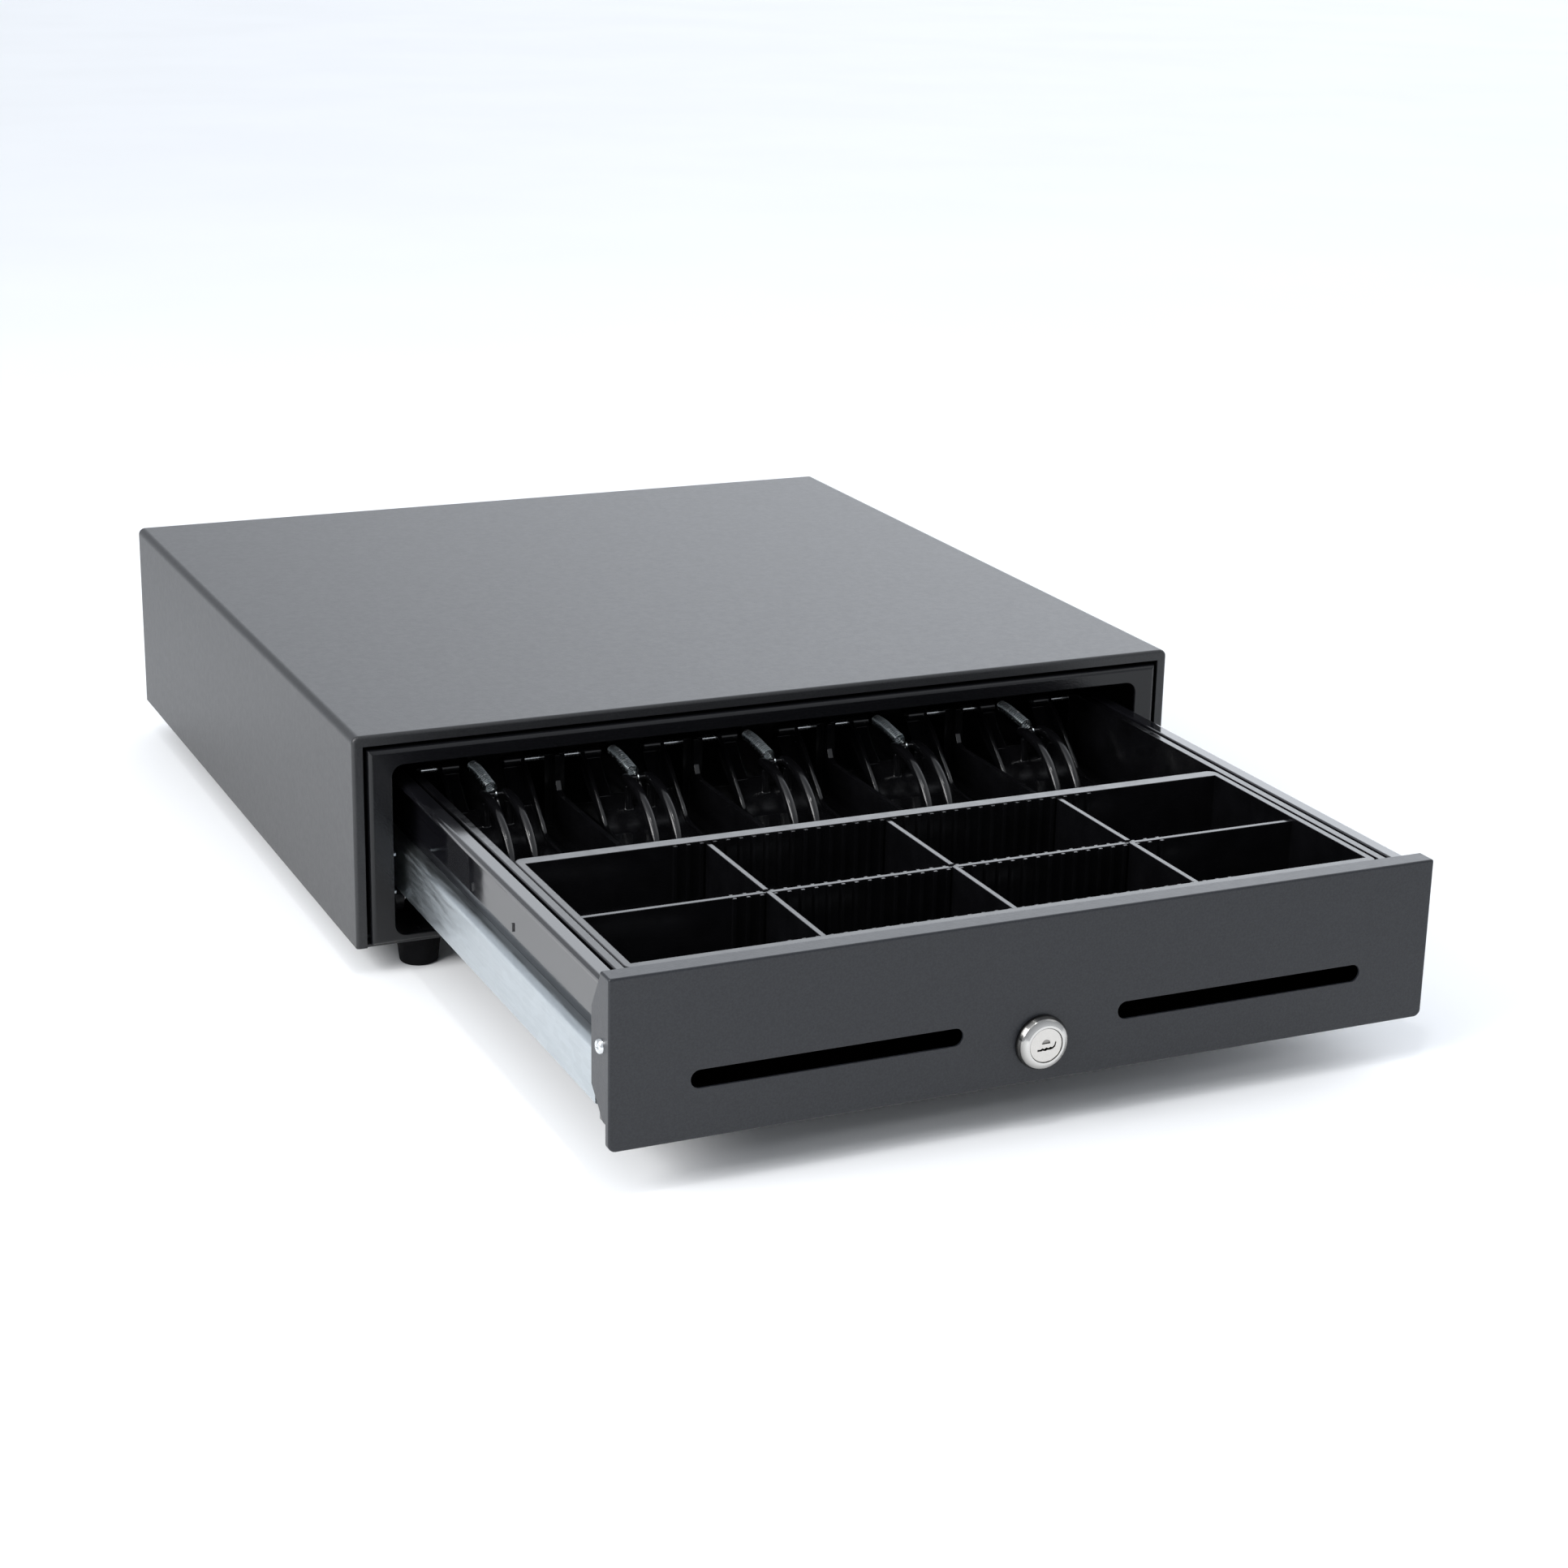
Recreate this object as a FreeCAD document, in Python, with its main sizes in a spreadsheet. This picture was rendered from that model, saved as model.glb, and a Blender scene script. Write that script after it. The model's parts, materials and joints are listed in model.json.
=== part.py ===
"""Electronic cash drawer, drawn out to its stop, as a parametric document of separate sub-parts.

Millimetres. X runs to the right seen from the front, Y to the back, Z up.
Every sub-part is drawn in the case's own frame (front plane of the cover at Y = 0, underside of
the case at Z = 0) and its Placement then moves it into the shared frame, whose origin lies under
the middle of the whole object, on the surface that the feet stand on.
"""
import FreeCAD, Part
import os
import re

import Sketcher

V = FreeCAD.Vector
doc = FreeCAD.newDocument("CashDrawer")

# ---------------------------------------------------------------- driving dimensions

DIMENSIONS = {
    # case
    "case_w": 410, "case_d": 413, "case_z": 98.6, "steel": 1.2, "corner_r": 3.5,
    "lip_side": 4.9, "lip_top": 5.0, "foot_z": 14, "foot_x": 172.6,
    "foot_front": 13, "foot_back": 392, "foot_top_r": 10.4, "foot_low_r": 8.6,
    "frame_x": 198.2, "frame_top": 91.7, "frame_proud": 1.5, "frame_fold": 8,
    "open_x": 187.6, "open_low": 4.4, "open_top": 84.4, "open_r": 5.5,
    "rear_panel_y": 410, "bolt_x": 150, "bolt_front": 70, "bolt_back": 350,
    # slides
    "rail_low": 19.5, "rail_top": 43.7, "rail_x": 181, "rail_front": -234.5,
    "rail_back": 140, "channel_x": 190.4, "channel_tip": 183.4, "channel_foot": 202, "channel_front": 9.5,
    "channel_back": 398, "roller_z": 30, "roller_y": 130, "roller_r": 8,
    "idler_y": 24, "idler_r": 6, "idler_z": 13.2, "pin_r": 2,
    # drawer
    "front_y": -253.2, "front_x": 182.7, "front_low": 7.4, "front_top": 77.4, "front_r": 3.2,
    "plate": 1, "fold": 9, "ear": 18, "wall_x": 175.3, "wall_top": 73.2, "flange_x": 181.5,
    "floor_z": 15, "pan_back": 56, "screw_y": -244.8, "screw_z": 47.8,
    "slot_x": 92.2, "slot_long": 115, "slot_wide": 7.6, "slot_z": 32, "lock_z": 24.5, "key_depth": 9,
    # till
    "till_x": 171.2, "till_in": 169, "till_rim": 172.8, "till_low": 35.8, "till_floor": 37.6,
    "till_top": 73, "till_front": -238, "till_back": 52.7, "till_wall": 2.2,
    "bill_pitch": 68.4, "bill_front": -107, "divider_w": 2.4, "divider_top": 55.2,
    "axle_y": 30, "axle_z": 69.8, "axle_r": 1.5, "axle_out": 29.3, "clip_half": 20.8,
    # coin tray
    "coin_x": 167, "coin_rim": 168.4, "coin_in": 165, "coin_front": -234.2, "coin_back": -111.5,
    "coin_edge": -104.5, "coin_low": 37.8, "coin_floor": 39.8, "coin_top": 72.8, "coin_mid": -173.5,
    "coin_pitch": 84, "coin_divider": 2.2, "tooth_pitch": 6, "tooth_w": 1.6,
    # release mechanism
    "mech_z": 36, "pivot_x": -22, "pivot_y": 358, "coil_y": 336, "deck_z": 22, "catch_y": 76,
}

sheet = doc.addObject("Spreadsheet::Sheet", "Dims")
for row, (alias, value) in enumerate(DIMENSIONS.items(), start=1):
    sheet.set(f"A{row}", alias)
    sheet.set(f"B{row}", str(value))
    sheet.setAlias(f"B{row}", alias)
doc.recompute()

# The drawer's front plate carries the lock, which stands out furthest, and the cover ends furthest back.
LOCK_DOME = 4.8
MIDDLE_Y = f"(case_d + front_y - {LOCK_DOME}) / 2"
NODES = []


def bound(text):
    """An expression in plain names, with every name that is a cell of the sheet tied to that cell."""
    return re.sub(r"[a-z][a-z_]+", lambda m: f"Dims.{m[0]}" if m[0] in DIMENSIONS else m[0], str(text))


def number(text):
    """The present value of an expression in the sheet's names."""
    return float(sheet.evalExpression(bound(text)))


def serial(name):
    """A free internal name for a construction object."""
    serial.count += 1
    return f"{name}_{serial.count}"


serial.count = 0


# ---------------------------------------------------------------- primitives and booleans

def block(x, y, z):
    """A box between pairs of expressions along X, Y and Z."""
    solid = doc.addObject("Part::Box", serial("Block"))
    for side, axis, (low, high) in (("Length", "x", x), ("Width", "y", y), ("Height", "z", z)):
        solid.setExpression(side, bound(f"({high}) - ({low})"))
        solid.setExpression(f"Placement.Base.{axis}", bound(low))
    return solid


TURN = {
    "x": FreeCAD.Rotation(V(0, 1, 0), 90), "-x": FreeCAD.Rotation(V(0, 1, 0), -90),
    "y": FreeCAD.Rotation(V(1, 0, 0), -90), "-y": FreeCAD.Rotation(V(1, 0, 0), 90),
    "z": FreeCAD.Rotation(), "-z": FreeCAD.Rotation(V(1, 0, 0), 180),
}


def rod(axis, start, length, radius, angle=360):
    """A cylinder along an axis, from a start point given as three expressions."""
    solid = doc.addObject("Part::Cylinder", serial("Rod"))
    solid.Placement = FreeCAD.Placement(V(), TURN[axis])
    solid.Angle = angle
    solid.setExpression("Radius", bound(radius))
    solid.setExpression("Height", bound(length))
    for letter, place in zip("xyz", start):
        solid.setExpression(f"Placement.Base.{letter}", bound(place))
    return solid


def joined(*solids):
    """Solids fused into one."""
    if len(solids) == 1:
        return solids[0]
    fuse = doc.addObject("Part::MultiFuse", serial("Joined"))
    fuse.Shapes = list(solids)
    fuse.Refine = True
    return fuse


def cut(base, *tools):
    """The base with every tool taken out of it."""
    result = doc.addObject("Part::Cut", serial("Cut"))
    result.Base = base
    result.Tool = joined(*tools)
    result.Refine = True
    return result


def apart(*solids):
    """Separate solids kept side by side in one sub-part."""
    group = doc.addObject("Part::Compound", serial("Group"))
    group.Links = list(solids)
    return group


def rounded(base, radius, picks):
    """The base with a fillet on each edge that picks(low corner, high corner) accepts."""
    doc.recompute()
    fillet = doc.addObject("Part::Fillet", serial("Rounded"))
    fillet.Base = base
    edges = []
    for index, edge in enumerate(base.Shape.Edges, start=1):
        box = edge.BoundBox
        if picks(V(box.XMin, box.YMin, box.ZMin), V(box.XMax, box.YMax, box.ZMax)):
            edges.append((index, number(radius), number(radius)))
    fillet.Edges = edges
    return fillet


def near(value, text):
    """Whether a coordinate lies at an expression's value."""
    return abs(value - number(text)) < 0.02


def flat(axis, place):
    """A test for edges that lie wholly at one place on an axis."""
    return lambda low, high: near(getattr(low, axis), place) and near(getattr(high, axis), place)


def along(axis):
    """A test for straight edges that run along one axis."""
    others = [n for n in range(3) if n != "xyz".index(axis)]
    return lambda low, high: all(abs(high[n] - low[n]) < 0.001 for n in others)


# ---------------------------------------------------------------- bodies with sketches

PLANES = {"xy": "XY_Plane", "xz": "XZ_Plane", "yz": "YZ_Plane"}


def new_body(name):
    return doc.addObject("PartDesign::Body", serial(name))


def plane_of(body, plane):
    return next(f for f in body.Origin.OriginFeatures if f.Role == PLANES[plane])


def sketch_on(body, plane, offset="0"):
    """An empty sketch on one of the body's own origin planes, moved along its normal."""
    sketch = body.newObject("Sketcher::SketchObject", serial("Sketch"))
    sketch.AttachmentSupport = [(plane_of(body, plane), "")]
    sketch.MapMode = "FlatFace"
    sketch.setExpression("AttachmentOffset.Base.z", bound(offset))
    return sketch


def pin_point(sketch, index, end, point):
    """Hold one end of a line by two dimensions from the origin, each tied to the sheet."""
    for kind, place in zip(("DistanceX", "DistanceY"), point):
        value = number(place)
        held = sketch.addConstraint(Sketcher.Constraint(kind, -1, 1, index, end, value))
        sketch.setExpression(f"Constraints[{held}]", bound(place))


def outline(sketch, points):
    """A closed outline of straight lines through points given as pairs of expressions."""
    corners = [V(number(x), number(y), 0) for x, y in points]
    first = sketch.GeometryCount
    for start, end in zip(corners, corners[1:] + corners[:1]):
        sketch.addGeometry(Part.LineSegment(start, end), False)
    for step in range(len(points)):
        following = first + (step + 1) % len(points)
        sketch.addConstraint(Sketcher.Constraint("Coincident", first + step, 2, following, 1))
        pin_point(sketch, first + step, 1, points[step])


def ring(sketch, centre, radius):
    """A circle whose centre and radius are tied to the sheet."""
    middle = V(number(centre[0]), number(centre[1]), 0)
    index = sketch.addGeometry(Part.Circle(middle, V(0, 0, 1), number(radius)), False)
    pin_point(sketch, index, 3, centre)
    held = sketch.addConstraint(Sketcher.Constraint("Radius", index, number(radius)))
    sketch.setExpression(f"Constraints[{held}]", bound(radius))


def pad(body, sketch, length, reverse=False, middle=False):
    feature = body.newObject("PartDesign::Pad", serial("Pad"))
    feature.Profile = sketch
    feature.setExpression("Length", bound(length))
    feature.Reversed = reverse
    feature.Midplane = middle
    doc.recompute()
    return feature


def pocket(body, sketch, length, reverse=False, middle=False):
    """A pocket that must take material away."""
    before = body.Shape.Volume
    feature = body.newObject("PartDesign::Pocket", serial("Pocket"))
    feature.Profile = sketch
    feature.setExpression("Length", bound(length))
    feature.Reversed = reverse
    feature.Midplane = middle
    doc.recompute()
    if body.Shape.Volume > before - 0.01:
        raise RuntimeError(f"{feature.Name} cuts nothing")
    return feature


def revolve(body, sketch, axis="V_Axis"):
    feature = body.newObject("PartDesign::Revolution", serial("Revolution"))
    feature.Profile = sketch
    feature.ReferenceAxis = (sketch, [axis])
    feature.Angle = 360
    doc.recompute()
    return feature


def dress(body, kind, size, picks):
    """A fillet or chamfer on the edges of the body's tip that picks accepts."""
    names = []
    for index, edge in enumerate(body.Shape.Edges, start=1):
        box = edge.BoundBox
        if picks(V(box.XMin, box.YMin, box.ZMin), V(box.XMax, box.YMax, box.ZMax)):
            names.append(f"Edge{index}")
    base = body.Tip
    feature = body.newObject(f"PartDesign::{kind}", serial(kind))
    feature.Base = (base, names)
    feature.setExpression("Radius" if kind == "Fillet" else "Size", bound(size))
    doc.recompute()
    return feature


def prism(plane, points, low, high):
    """A body padded from one outline, between two places along the plane's own axis."""
    body = new_body("Prism")
    backward = plane == "xz"
    sketch = sketch_on(body, plane, f"-({low})" if backward else low)
    outline(sketch, points)
    pad(body, sketch, f"({high}) - ({low})", reverse=backward)
    return body


def turned(points):
    """A body turned from a half outline of (radius, height) pairs about the upright axis."""
    body = new_body("Turned")
    sketch = sketch_on(body, "xz")
    outline(sketch, points)
    revolve(body, sketch)
    return body


def aimed(body, direction, place):
    """Stand a turned body's axis along a direction, with its foot at a place."""
    body.Placement = FreeCAD.Placement(V(), TURN[direction])
    for letter, value in zip("xyz", place):
        body.setExpression(f"Placement.Base.{letter}", bound(value))
    return body


def sub_part(label, *solids):
    """Name a finished sub-part and move it from the case's frame into the shared frame."""
    doc.recompute()
    solid = solids[0]
    if len(solids) > 1 or not solid.Placement.isIdentity():
        solid = apart(*solids)
    solid.Label = label
    solid.setExpression("Placement.Base.y", bound(f"-{MIDDLE_Y}"))
    solid.setExpression("Placement.Base.z", bound("foot_z"))
    NODES.append(solid)
    return solid


SIDES = {"left": -1, "right": 1}


def span(sign, low, high):
    """A stretch of X between two distances from the middle, on one side of it, lowest first."""
    return (f"-({high})", f"-({low})") if sign < 0 else (low, high)


def screw(direction, place, head_r, head_t, shank_r, shank):
    """A cross-recessed pan-head screw, its head out along direction and its shank the other way."""
    body = turned([("0", head_t), (f"{head_r} * 0.6", head_t), (head_r, f"{head_t} * 0.45"), (head_r, "0"),
                   (shank_r, "0"), (shank_r, f"-({shank})"), ("0", f"-({shank})")])
    for wide, tall in ((f"{head_r} * 0.5", "0.35"), ("0.35", f"{head_r} * 0.5")):
        recess = sketch_on(body, "xy", head_t)
        outline(recess, [(f"-{wide}", f"-{tall}"), (wide, f"-{tall}"), (wide, tall), (f"-{wide}", tall)])
        pocket(body, recess, f"{head_t} * 0.6")
    return aimed(body, direction, place)


# ---------------------------------------------------------------- the case

INNER = "case_w / 2 - steel"
FOOT_PLACES = [(x, y) for x in ("-foot_x", "foot_x") for y in ("foot_front", "foot_back")]
FOOT_HOLE, FOOT_SEAT = "1.7", "-4.5"
BOLT_R = "2.25"
REAR_SCREWS = [("-199.5", "30"), ("-199.5", "75"), ("199.5", "30"), ("199.5", "75"), ("-90", "93"),
               ("90", "93")]
SOCKET_X, SOCKET_Z = "120", "29"
SCREW_R = "1.5"


def case_cover():
    """Top and sides folded from one sheet, with a lip returned inward at the front and at the rear."""
    shell = block(("-case_w / 2", "case_w / 2"), ("0", "case_d"), ("0", "case_z"))
    upper = lambda low, high: along("y")(low, high) and high.z > number("case_z - steel") - 1
    shell = rounded(shell, "corner_r", upper)
    room = block((f"-({INNER})", INNER), ("steel", "case_d + 1"), ("-1", "case_z - steel"))
    room = rounded(room, "corner_r - steel", upper)
    mouth = block(("lip_side - case_w / 2", "case_w / 2 - lip_side"), ("-1", "steel + 1"),
                  ("-1", "case_z - lip_top"))
    cover = cut(shell, room, mouth)

    def front_edge(low, high):
        outer = min(abs(low.x), abs(high.x)) > number("case_w / 2 - lip_side") + 0.5 or \
            low.z > number("case_z - lip_top") + 0.5
        return outer and near(low.y, "0") and near(high.y, "0") and high.z > 1

    cover = rounded(cover, "1.5", front_edge)
    lip = block((f"-({INNER})", INNER), ("rear_panel_y - steel", "rear_panel_y"),
                ("steel", "case_z - steel"))
    hollow = block(("-195", "195"), ("rear_panel_y - 5", "rear_panel_y + 5"), ("-1", "88"))
    holes = [rod("y", (x, "rear_panel_y - 5", z), "10", "1.5") for x, z in REAR_SCREWS]
    return sub_part("case_cover", joined(cover, cut(lip, hollow, *holes)))


def case_base():
    """Floor of the case with an upturned flange along each side, drilled for its feet and for a counter."""
    floor = block((f"-({INNER})", INNER), ("steel", "rear_panel_y + steel"), ("0", "steel"))
    walls = [block(span(sign, f"{INNER} - steel", INNER), ("12", "rear_panel_y - 2"), ("0", "13"))
             for sign in SIDES.values()]
    drills = [rod("z", (x, y, "-1"), "5", FOOT_HOLE) for x, y in FOOT_PLACES]
    drills += [rod("z", (x, y, "-1"), "5", BOLT_R) for x in ("-bolt_x", "bolt_x")
               for y in ("bolt_front", "bolt_back")]
    return sub_part("case_base", cut(joined(floor, *walls), *drills))


def front_frame():
    """Front panel around the drawer's opening, its edges folded back, standing just proud of the cover."""
    shell = block(("-frame_x", "frame_x"), ("-frame_proud", "frame_fold - frame_proud"),
                  ("steel", "frame_top"))
    shell = rounded(shell, "2", flat("y", "-frame_proud"))
    room = block(("steel - frame_x", "frame_x - steel"), ("steel - frame_proud", "frame_fold"),
                 ("steel * 2", "frame_top - steel"))
    opening = block(("-open_x", "open_x"), ("-frame_proud - 1", "steel + 1"), ("open_low", "open_top"))
    opening = rounded(opening, "open_r", along("y"))
    return sub_part("front_frame", cut(shell, room, opening))


def rear_panel():
    """Back of the case, screwed to the cover's rear lip, with a cut-out for the cable socket."""
    plate = block((f"-({INNER})", INNER), ("rear_panel_y", "rear_panel_y + steel"),
                  ("steel", "case_z - steel"))
    plate = rounded(plate, "2.6", lambda low, high: along("y")(low, high) and high.z > 50)
    holes = [rod("y", (x, "rear_panel_y - 1", z), "5", "1.5") for x, z in REAR_SCREWS]
    window = block((f"{SOCKET_X} - 6.5", f"{SOCKET_X} + 6.5"), ("rear_panel_y - 1", "rear_panel_y + 5"),
                   (f"{SOCKET_Z} - 5.5", f"{SOCKET_Z} + 5.5"))
    return sub_part("rear_panel", cut(plate, window, *holes))


def cable_socket():
    """Six-way modular socket for the release cable, its mouth in the rear panel."""
    shell = block((f"{SOCKET_X} - 9", f"{SOCKET_X} + 9"), ("rear_panel_y - 18", "rear_panel_y"),
                  (f"{SOCKET_Z} - 8", f"{SOCKET_Z} + 8"))
    nose = block((f"{SOCKET_X} - 6.5", f"{SOCKET_X} + 6.5"), ("rear_panel_y", "rear_panel_y + steel + 0.8"),
                 (f"{SOCKET_Z} - 5.5", f"{SOCKET_Z} + 5.5"))
    mouth = block((f"{SOCKET_X} - 4.9", f"{SOCKET_X} + 4.9"), ("rear_panel_y - 13", "rear_panel_y + 5"),
                  (f"{SOCKET_Z} - 3.4", f"{SOCKET_Z} + 3.4"))
    latch = block((f"{SOCKET_X} - 1.7", f"{SOCKET_X} + 1.7"), ("rear_panel_y - 6", "rear_panel_y + 5"),
                  (f"{SOCKET_Z} - 4.8", f"{SOCKET_Z} - 3"))
    return sub_part("cable_socket", cut(joined(shell, nose), mouth, latch))


def rubber_feet():
    """Four tapered feet, each recessed below for the head of its screw."""
    feet = []
    for x, y in FOOT_PLACES:
        foot = turned([(FOOT_HOLE, "0"), ("foot_top_r", "0"), ("foot_low_r", "-foot_z"), ("4.5", "-foot_z"),
                       ("4.5", FOOT_SEAT), (FOOT_HOLE, FOOT_SEAT)])
        dress(foot, "Fillet", "1.4", lambda low, high: flat("z", "-foot_z")(low, high) and high.x > 8)
        feet.append(aimed(foot, "z", (x, y, "0")))
    return sub_part("rubber_feet", *feet)


def foot_screws():
    screws = [screw("-z", (x, y, FOOT_SEAT), "3.2", "2", FOOT_HOLE, "8") for x, y in FOOT_PLACES]
    return sub_part("foot_screws", *screws)


def cover_screws():
    screws = [screw("y", (x, "rear_panel_y + steel", z), "3", "1.6", SCREW_R, "6") for x, z in REAR_SCREWS]
    return sub_part("cover_screws", *screws)


RUN_TOP, RUN_LOW = "roller_z + roller_r + 0.3", "roller_z - roller_r - 0.3"


def channel(side):
    """Galvanised channel on the floor of the case, open towards the drawer, with a stop tab."""
    sign = SIDES[side]
    profile = [("channel_foot", "steel"), ("channel_foot", "steel * 2"), ("channel_x + steel", "steel * 2"),
               ("channel_x + steel", f"{RUN_TOP} + steel"), ("channel_tip", f"{RUN_TOP} + steel"),
               ("channel_tip", RUN_TOP), ("channel_x", RUN_TOP), ("channel_x", RUN_LOW),
               ("channel_tip", RUN_LOW), ("channel_tip", f"{RUN_LOW} - steel"),
               ("channel_x", f"{RUN_LOW} - steel"), ("channel_x", "steel")]
    rail = prism("xz", [(f"{sign} * ({x})", z) for x, z in profile], "channel_front", "channel_back")
    stop = block(span(sign, "channel_tip + 0.4", "channel_x"),
                 ("roller_y - roller_r - 6.5", "roller_y - roller_r - 0.5"),
                 ("roller_z - 4", "roller_z + 4"))
    return sub_part(f"channel_{side}", joined(rail, stop))


def idler_pins():
    """Stub axles of the two front rollers, fixed to the channels."""
    pins = []
    for sign in SIDES.values():
        shoulder, groove, tip = "channel_x - rail_x - 0.8", "channel_x - 176.7", "channel_x - 175.9"
        shaft = [("0", "0"), ("3.5", "0"), ("3.5", shoulder), ("pin_r", shoulder), ("pin_r", groove),
                 ("3.2", groove), ("3.2", tip), ("0", tip)]
        pins.append(aimed(turned(shaft), "x" if sign < 0 else "-x",
                          (f"{sign} * channel_x", "idler_y", "idler_z")))
    return sub_part("idler_pins", *pins)


def roller(label, sign, radius, inner, outer, centre):
    """A nylon roller on a stub axle, its rim eased on both sides."""
    wheel = turned([("pin_r + 0.05", "0"), (radius, "0"), (radius, f"{outer} - ({inner})"),
                    ("pin_r + 0.05", f"{outer} - ({inner})")])
    dress(wheel, "Fillet", "0.6", lambda low, high: high.x > number(radius) - 0.1
          and near(low.z, str(high.z)))
    return sub_part(label, aimed(wheel, "x" if sign > 0 else "-x", (f"{sign} * ({inner})", *centre)))


# ---------------------------------------------------------------- the drawer's metalwork

LANCED_TABS = ["-126.2", "-75.5"]


def drawer_pan():
    """Sheet-metal drawer: floor, side walls with an outward flange, rear wall and front tabs."""
    half = [("wall_x", "floor_z"), ("wall_x", "wall_top - plate"), ("flange_x - plate", "wall_top - plate"),
            ("flange_x - plate", "wall_top - 2.5"), ("flange_x", "wall_top - 2.5"),
            ("flange_x", "wall_top"), ("wall_x - plate", "wall_top"), ("wall_x - plate", "floor_z + plate")]
    profile = half + [(f"-({x})", z) for x, z in reversed(half)]
    pan = prism("xz", profile, "screw_y + 2.2", "pan_back")

    def bend(low, high):
        outer_floor = near(low.z, "floor_z") and near(abs(low.x), "wall_x")
        outer_flange = near(low.z, "wall_top") and near(abs(low.x), "flange_x")
        return along("y")(low, high) and (outer_floor or outer_flange)

    dress(pan, "Fillet", "1.8", bend)

    def inner_bend(low, high):
        return along("y")(low, high) and near(low.z, "wall_top") and near(abs(low.x), "wall_x - plate")

    dress(pan, "Fillet", "0.8", inner_bend)
    rear = block(("plate - wall_x", "wall_x - plate"), ("pan_back - plate", "pan_back"), ("floor_z", "70"))
    pieces = [pan, rear]
    for sign in SIDES.values():
        for place in LANCED_TABS:
            pieces.append(block(span(sign, "wall_x - plate / 2", "wall_x + 0.6"), (place, f"{place} + 1"),
                                ("rail_top + 6", "rail_top + 9.5")))
        tall = ("floor_z + 1.9", "wall_top - 2.6")
        pieces.append(block(span(sign, "wall_x - plate", "front_x - plate"),
                            ("screw_y + 2.2", "screw_y + 3.2"), tall))
        pieces.append(block(span(sign, "front_x - plate * 2", "front_x - plate"),
                            ("screw_y - 6", "screw_y + 3.2"), tall))
    below_floor, above_floor = "floor_z - 1", "floor_z + 3"
    drills = [rod("x", ("-200", "screw_y", "screw_z"), "400", SCREW_R),
              block((f"-{BARREL_R} - 1", f"{BARREL_R} + 1"), ("screw_y", f"front_y + {BARREL_LONG} + 1"),
                    (below_floor, above_floor)),
              block(("-6", "19"), ("-229.5", "-222"), (below_floor, above_floor))]
    return sub_part("drawer_pan", cut(joined(*pieces), *drills))


def media_slot(x):
    """A long slot with round ends, cut straight through the front plate."""
    half = "(slot_long - slot_wide) / 2"
    middle = block((f"{x} - {half}", f"{x} + {half}"), ("front_y - 1", "front_y + 5"),
                   ("slot_z - slot_wide / 2", "slot_z + slot_wide / 2"))
    ends = [rod("y", (f"{x} {side} {half}", "front_y - 1", "slot_z"), "6", "slot_wide / 2")
            for side in "+-"]
    return joined(middle, *ends)


def drawer_front():
    """Front plate with folded edges, long ears at the sides, two media slots and the lock's hole."""
    shell = block(("-front_x", "front_x"), ("front_y", "front_y + ear"), ("front_low", "front_top"))
    lower = lambda low, high: along("y")(low, high) and high.z < number("lock_z")
    upper = lambda low, high: along("y")(low, high) and high.z > number("lock_z")
    shell = rounded(rounded(shell, "front_r", lower), "1", upper)
    shell = rounded(shell, "0.9", flat("y", "front_y"))
    room = block(("plate - front_x", "front_x - plate"), ("front_y + plate", "front_y + ear + 1"),
                 ("front_low + plate", "front_top - plate"))
    room = rounded(room, "front_r - plate", lower)
    above = [("front_y + fold", "front_top + 1"), ("front_y + fold", "front_top - 1.5"),
             ("front_y + ear", "front_top - 17"), ("front_y + ear + 1", "front_top - 17"),
             ("front_y + ear + 1", "front_top + 1")]
    below = [("front_y + 3.2", "front_low - 1"), ("front_y + ear + 1", "front_low - 1"),
             ("front_y + ear + 1", "front_low + 21.5"), ("front_y + ear", "front_low + 21.5"),
             ("front_y + ear - 3.5", "front_low + 18.5"), ("front_y + fold + 0.8", "front_low + 14.2"),
             ("front_y + 6", "front_low + 10.6"), ("front_y + 3.2", "front_low + 10.6")]
    trims = [prism("yz", points, "-front_x - 1", "front_x + 1") for points in (above, below)]
    holes = [media_slot("-slot_x"), media_slot("slot_x"),
             rod("y", ("0", "front_y - 1", "lock_z"), "5", "9.5"),
             rod("x", ("-200", "screw_y", "screw_z"), "400", SCREW_R)]
    return sub_part("drawer_front", cut(shell, room, *trims, *holes))


def drawer_rail(side):
    """Galvanised channel on the drawer's side wall, which runs over the front roller."""
    profile = [("wall_x", "rail_low"), ("rail_x", "rail_low"), ("rail_x", "rail_top"),
               ("wall_x", "rail_top"),
               ("wall_x", "rail_top - plate"), ("rail_x - plate", "rail_top - plate"),
               ("rail_x - plate", "rail_low + plate"), ("wall_x", "rail_low + plate")]
    rail = prism("xz", [(f"{SIDES[side]} * ({x})", z) for x, z in profile], "rail_front", "rail_back")

    def corner(x, z):
        return lambda low, high: along("y")(low, high) and near(abs(low.x), x) and near(low.z, z)

    dress(rail, "Fillet", "3.8", corner("rail_x", "rail_top"))
    dress(rail, "Fillet", "2.8", corner("rail_x - plate", "rail_top - plate"))
    dress(rail, "Fillet", "1", corner("rail_x", "rail_low"))
    return sub_part(f"drawer_rail_{side}", rail)


def roller_pins():
    """Stub axles of the two rear rollers, fixed to the drawer's rails."""
    pins = []
    for sign in SIDES.values():
        shaft = [("0", "0"), ("3.5", "0"), ("3.5", "1.6"), ("pin_r", "1.6"), ("pin_r", "8.1"),
                 ("3.2", "8.1"), ("3.2", "8.6"), ("0", "8.6")]
        pins.append(aimed(turned(shaft), "x" if sign > 0 else "-x",
                          (f"{sign} * rail_x", "roller_y", "roller_z")))
    return sub_part("roller_pins", *pins)


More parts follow.
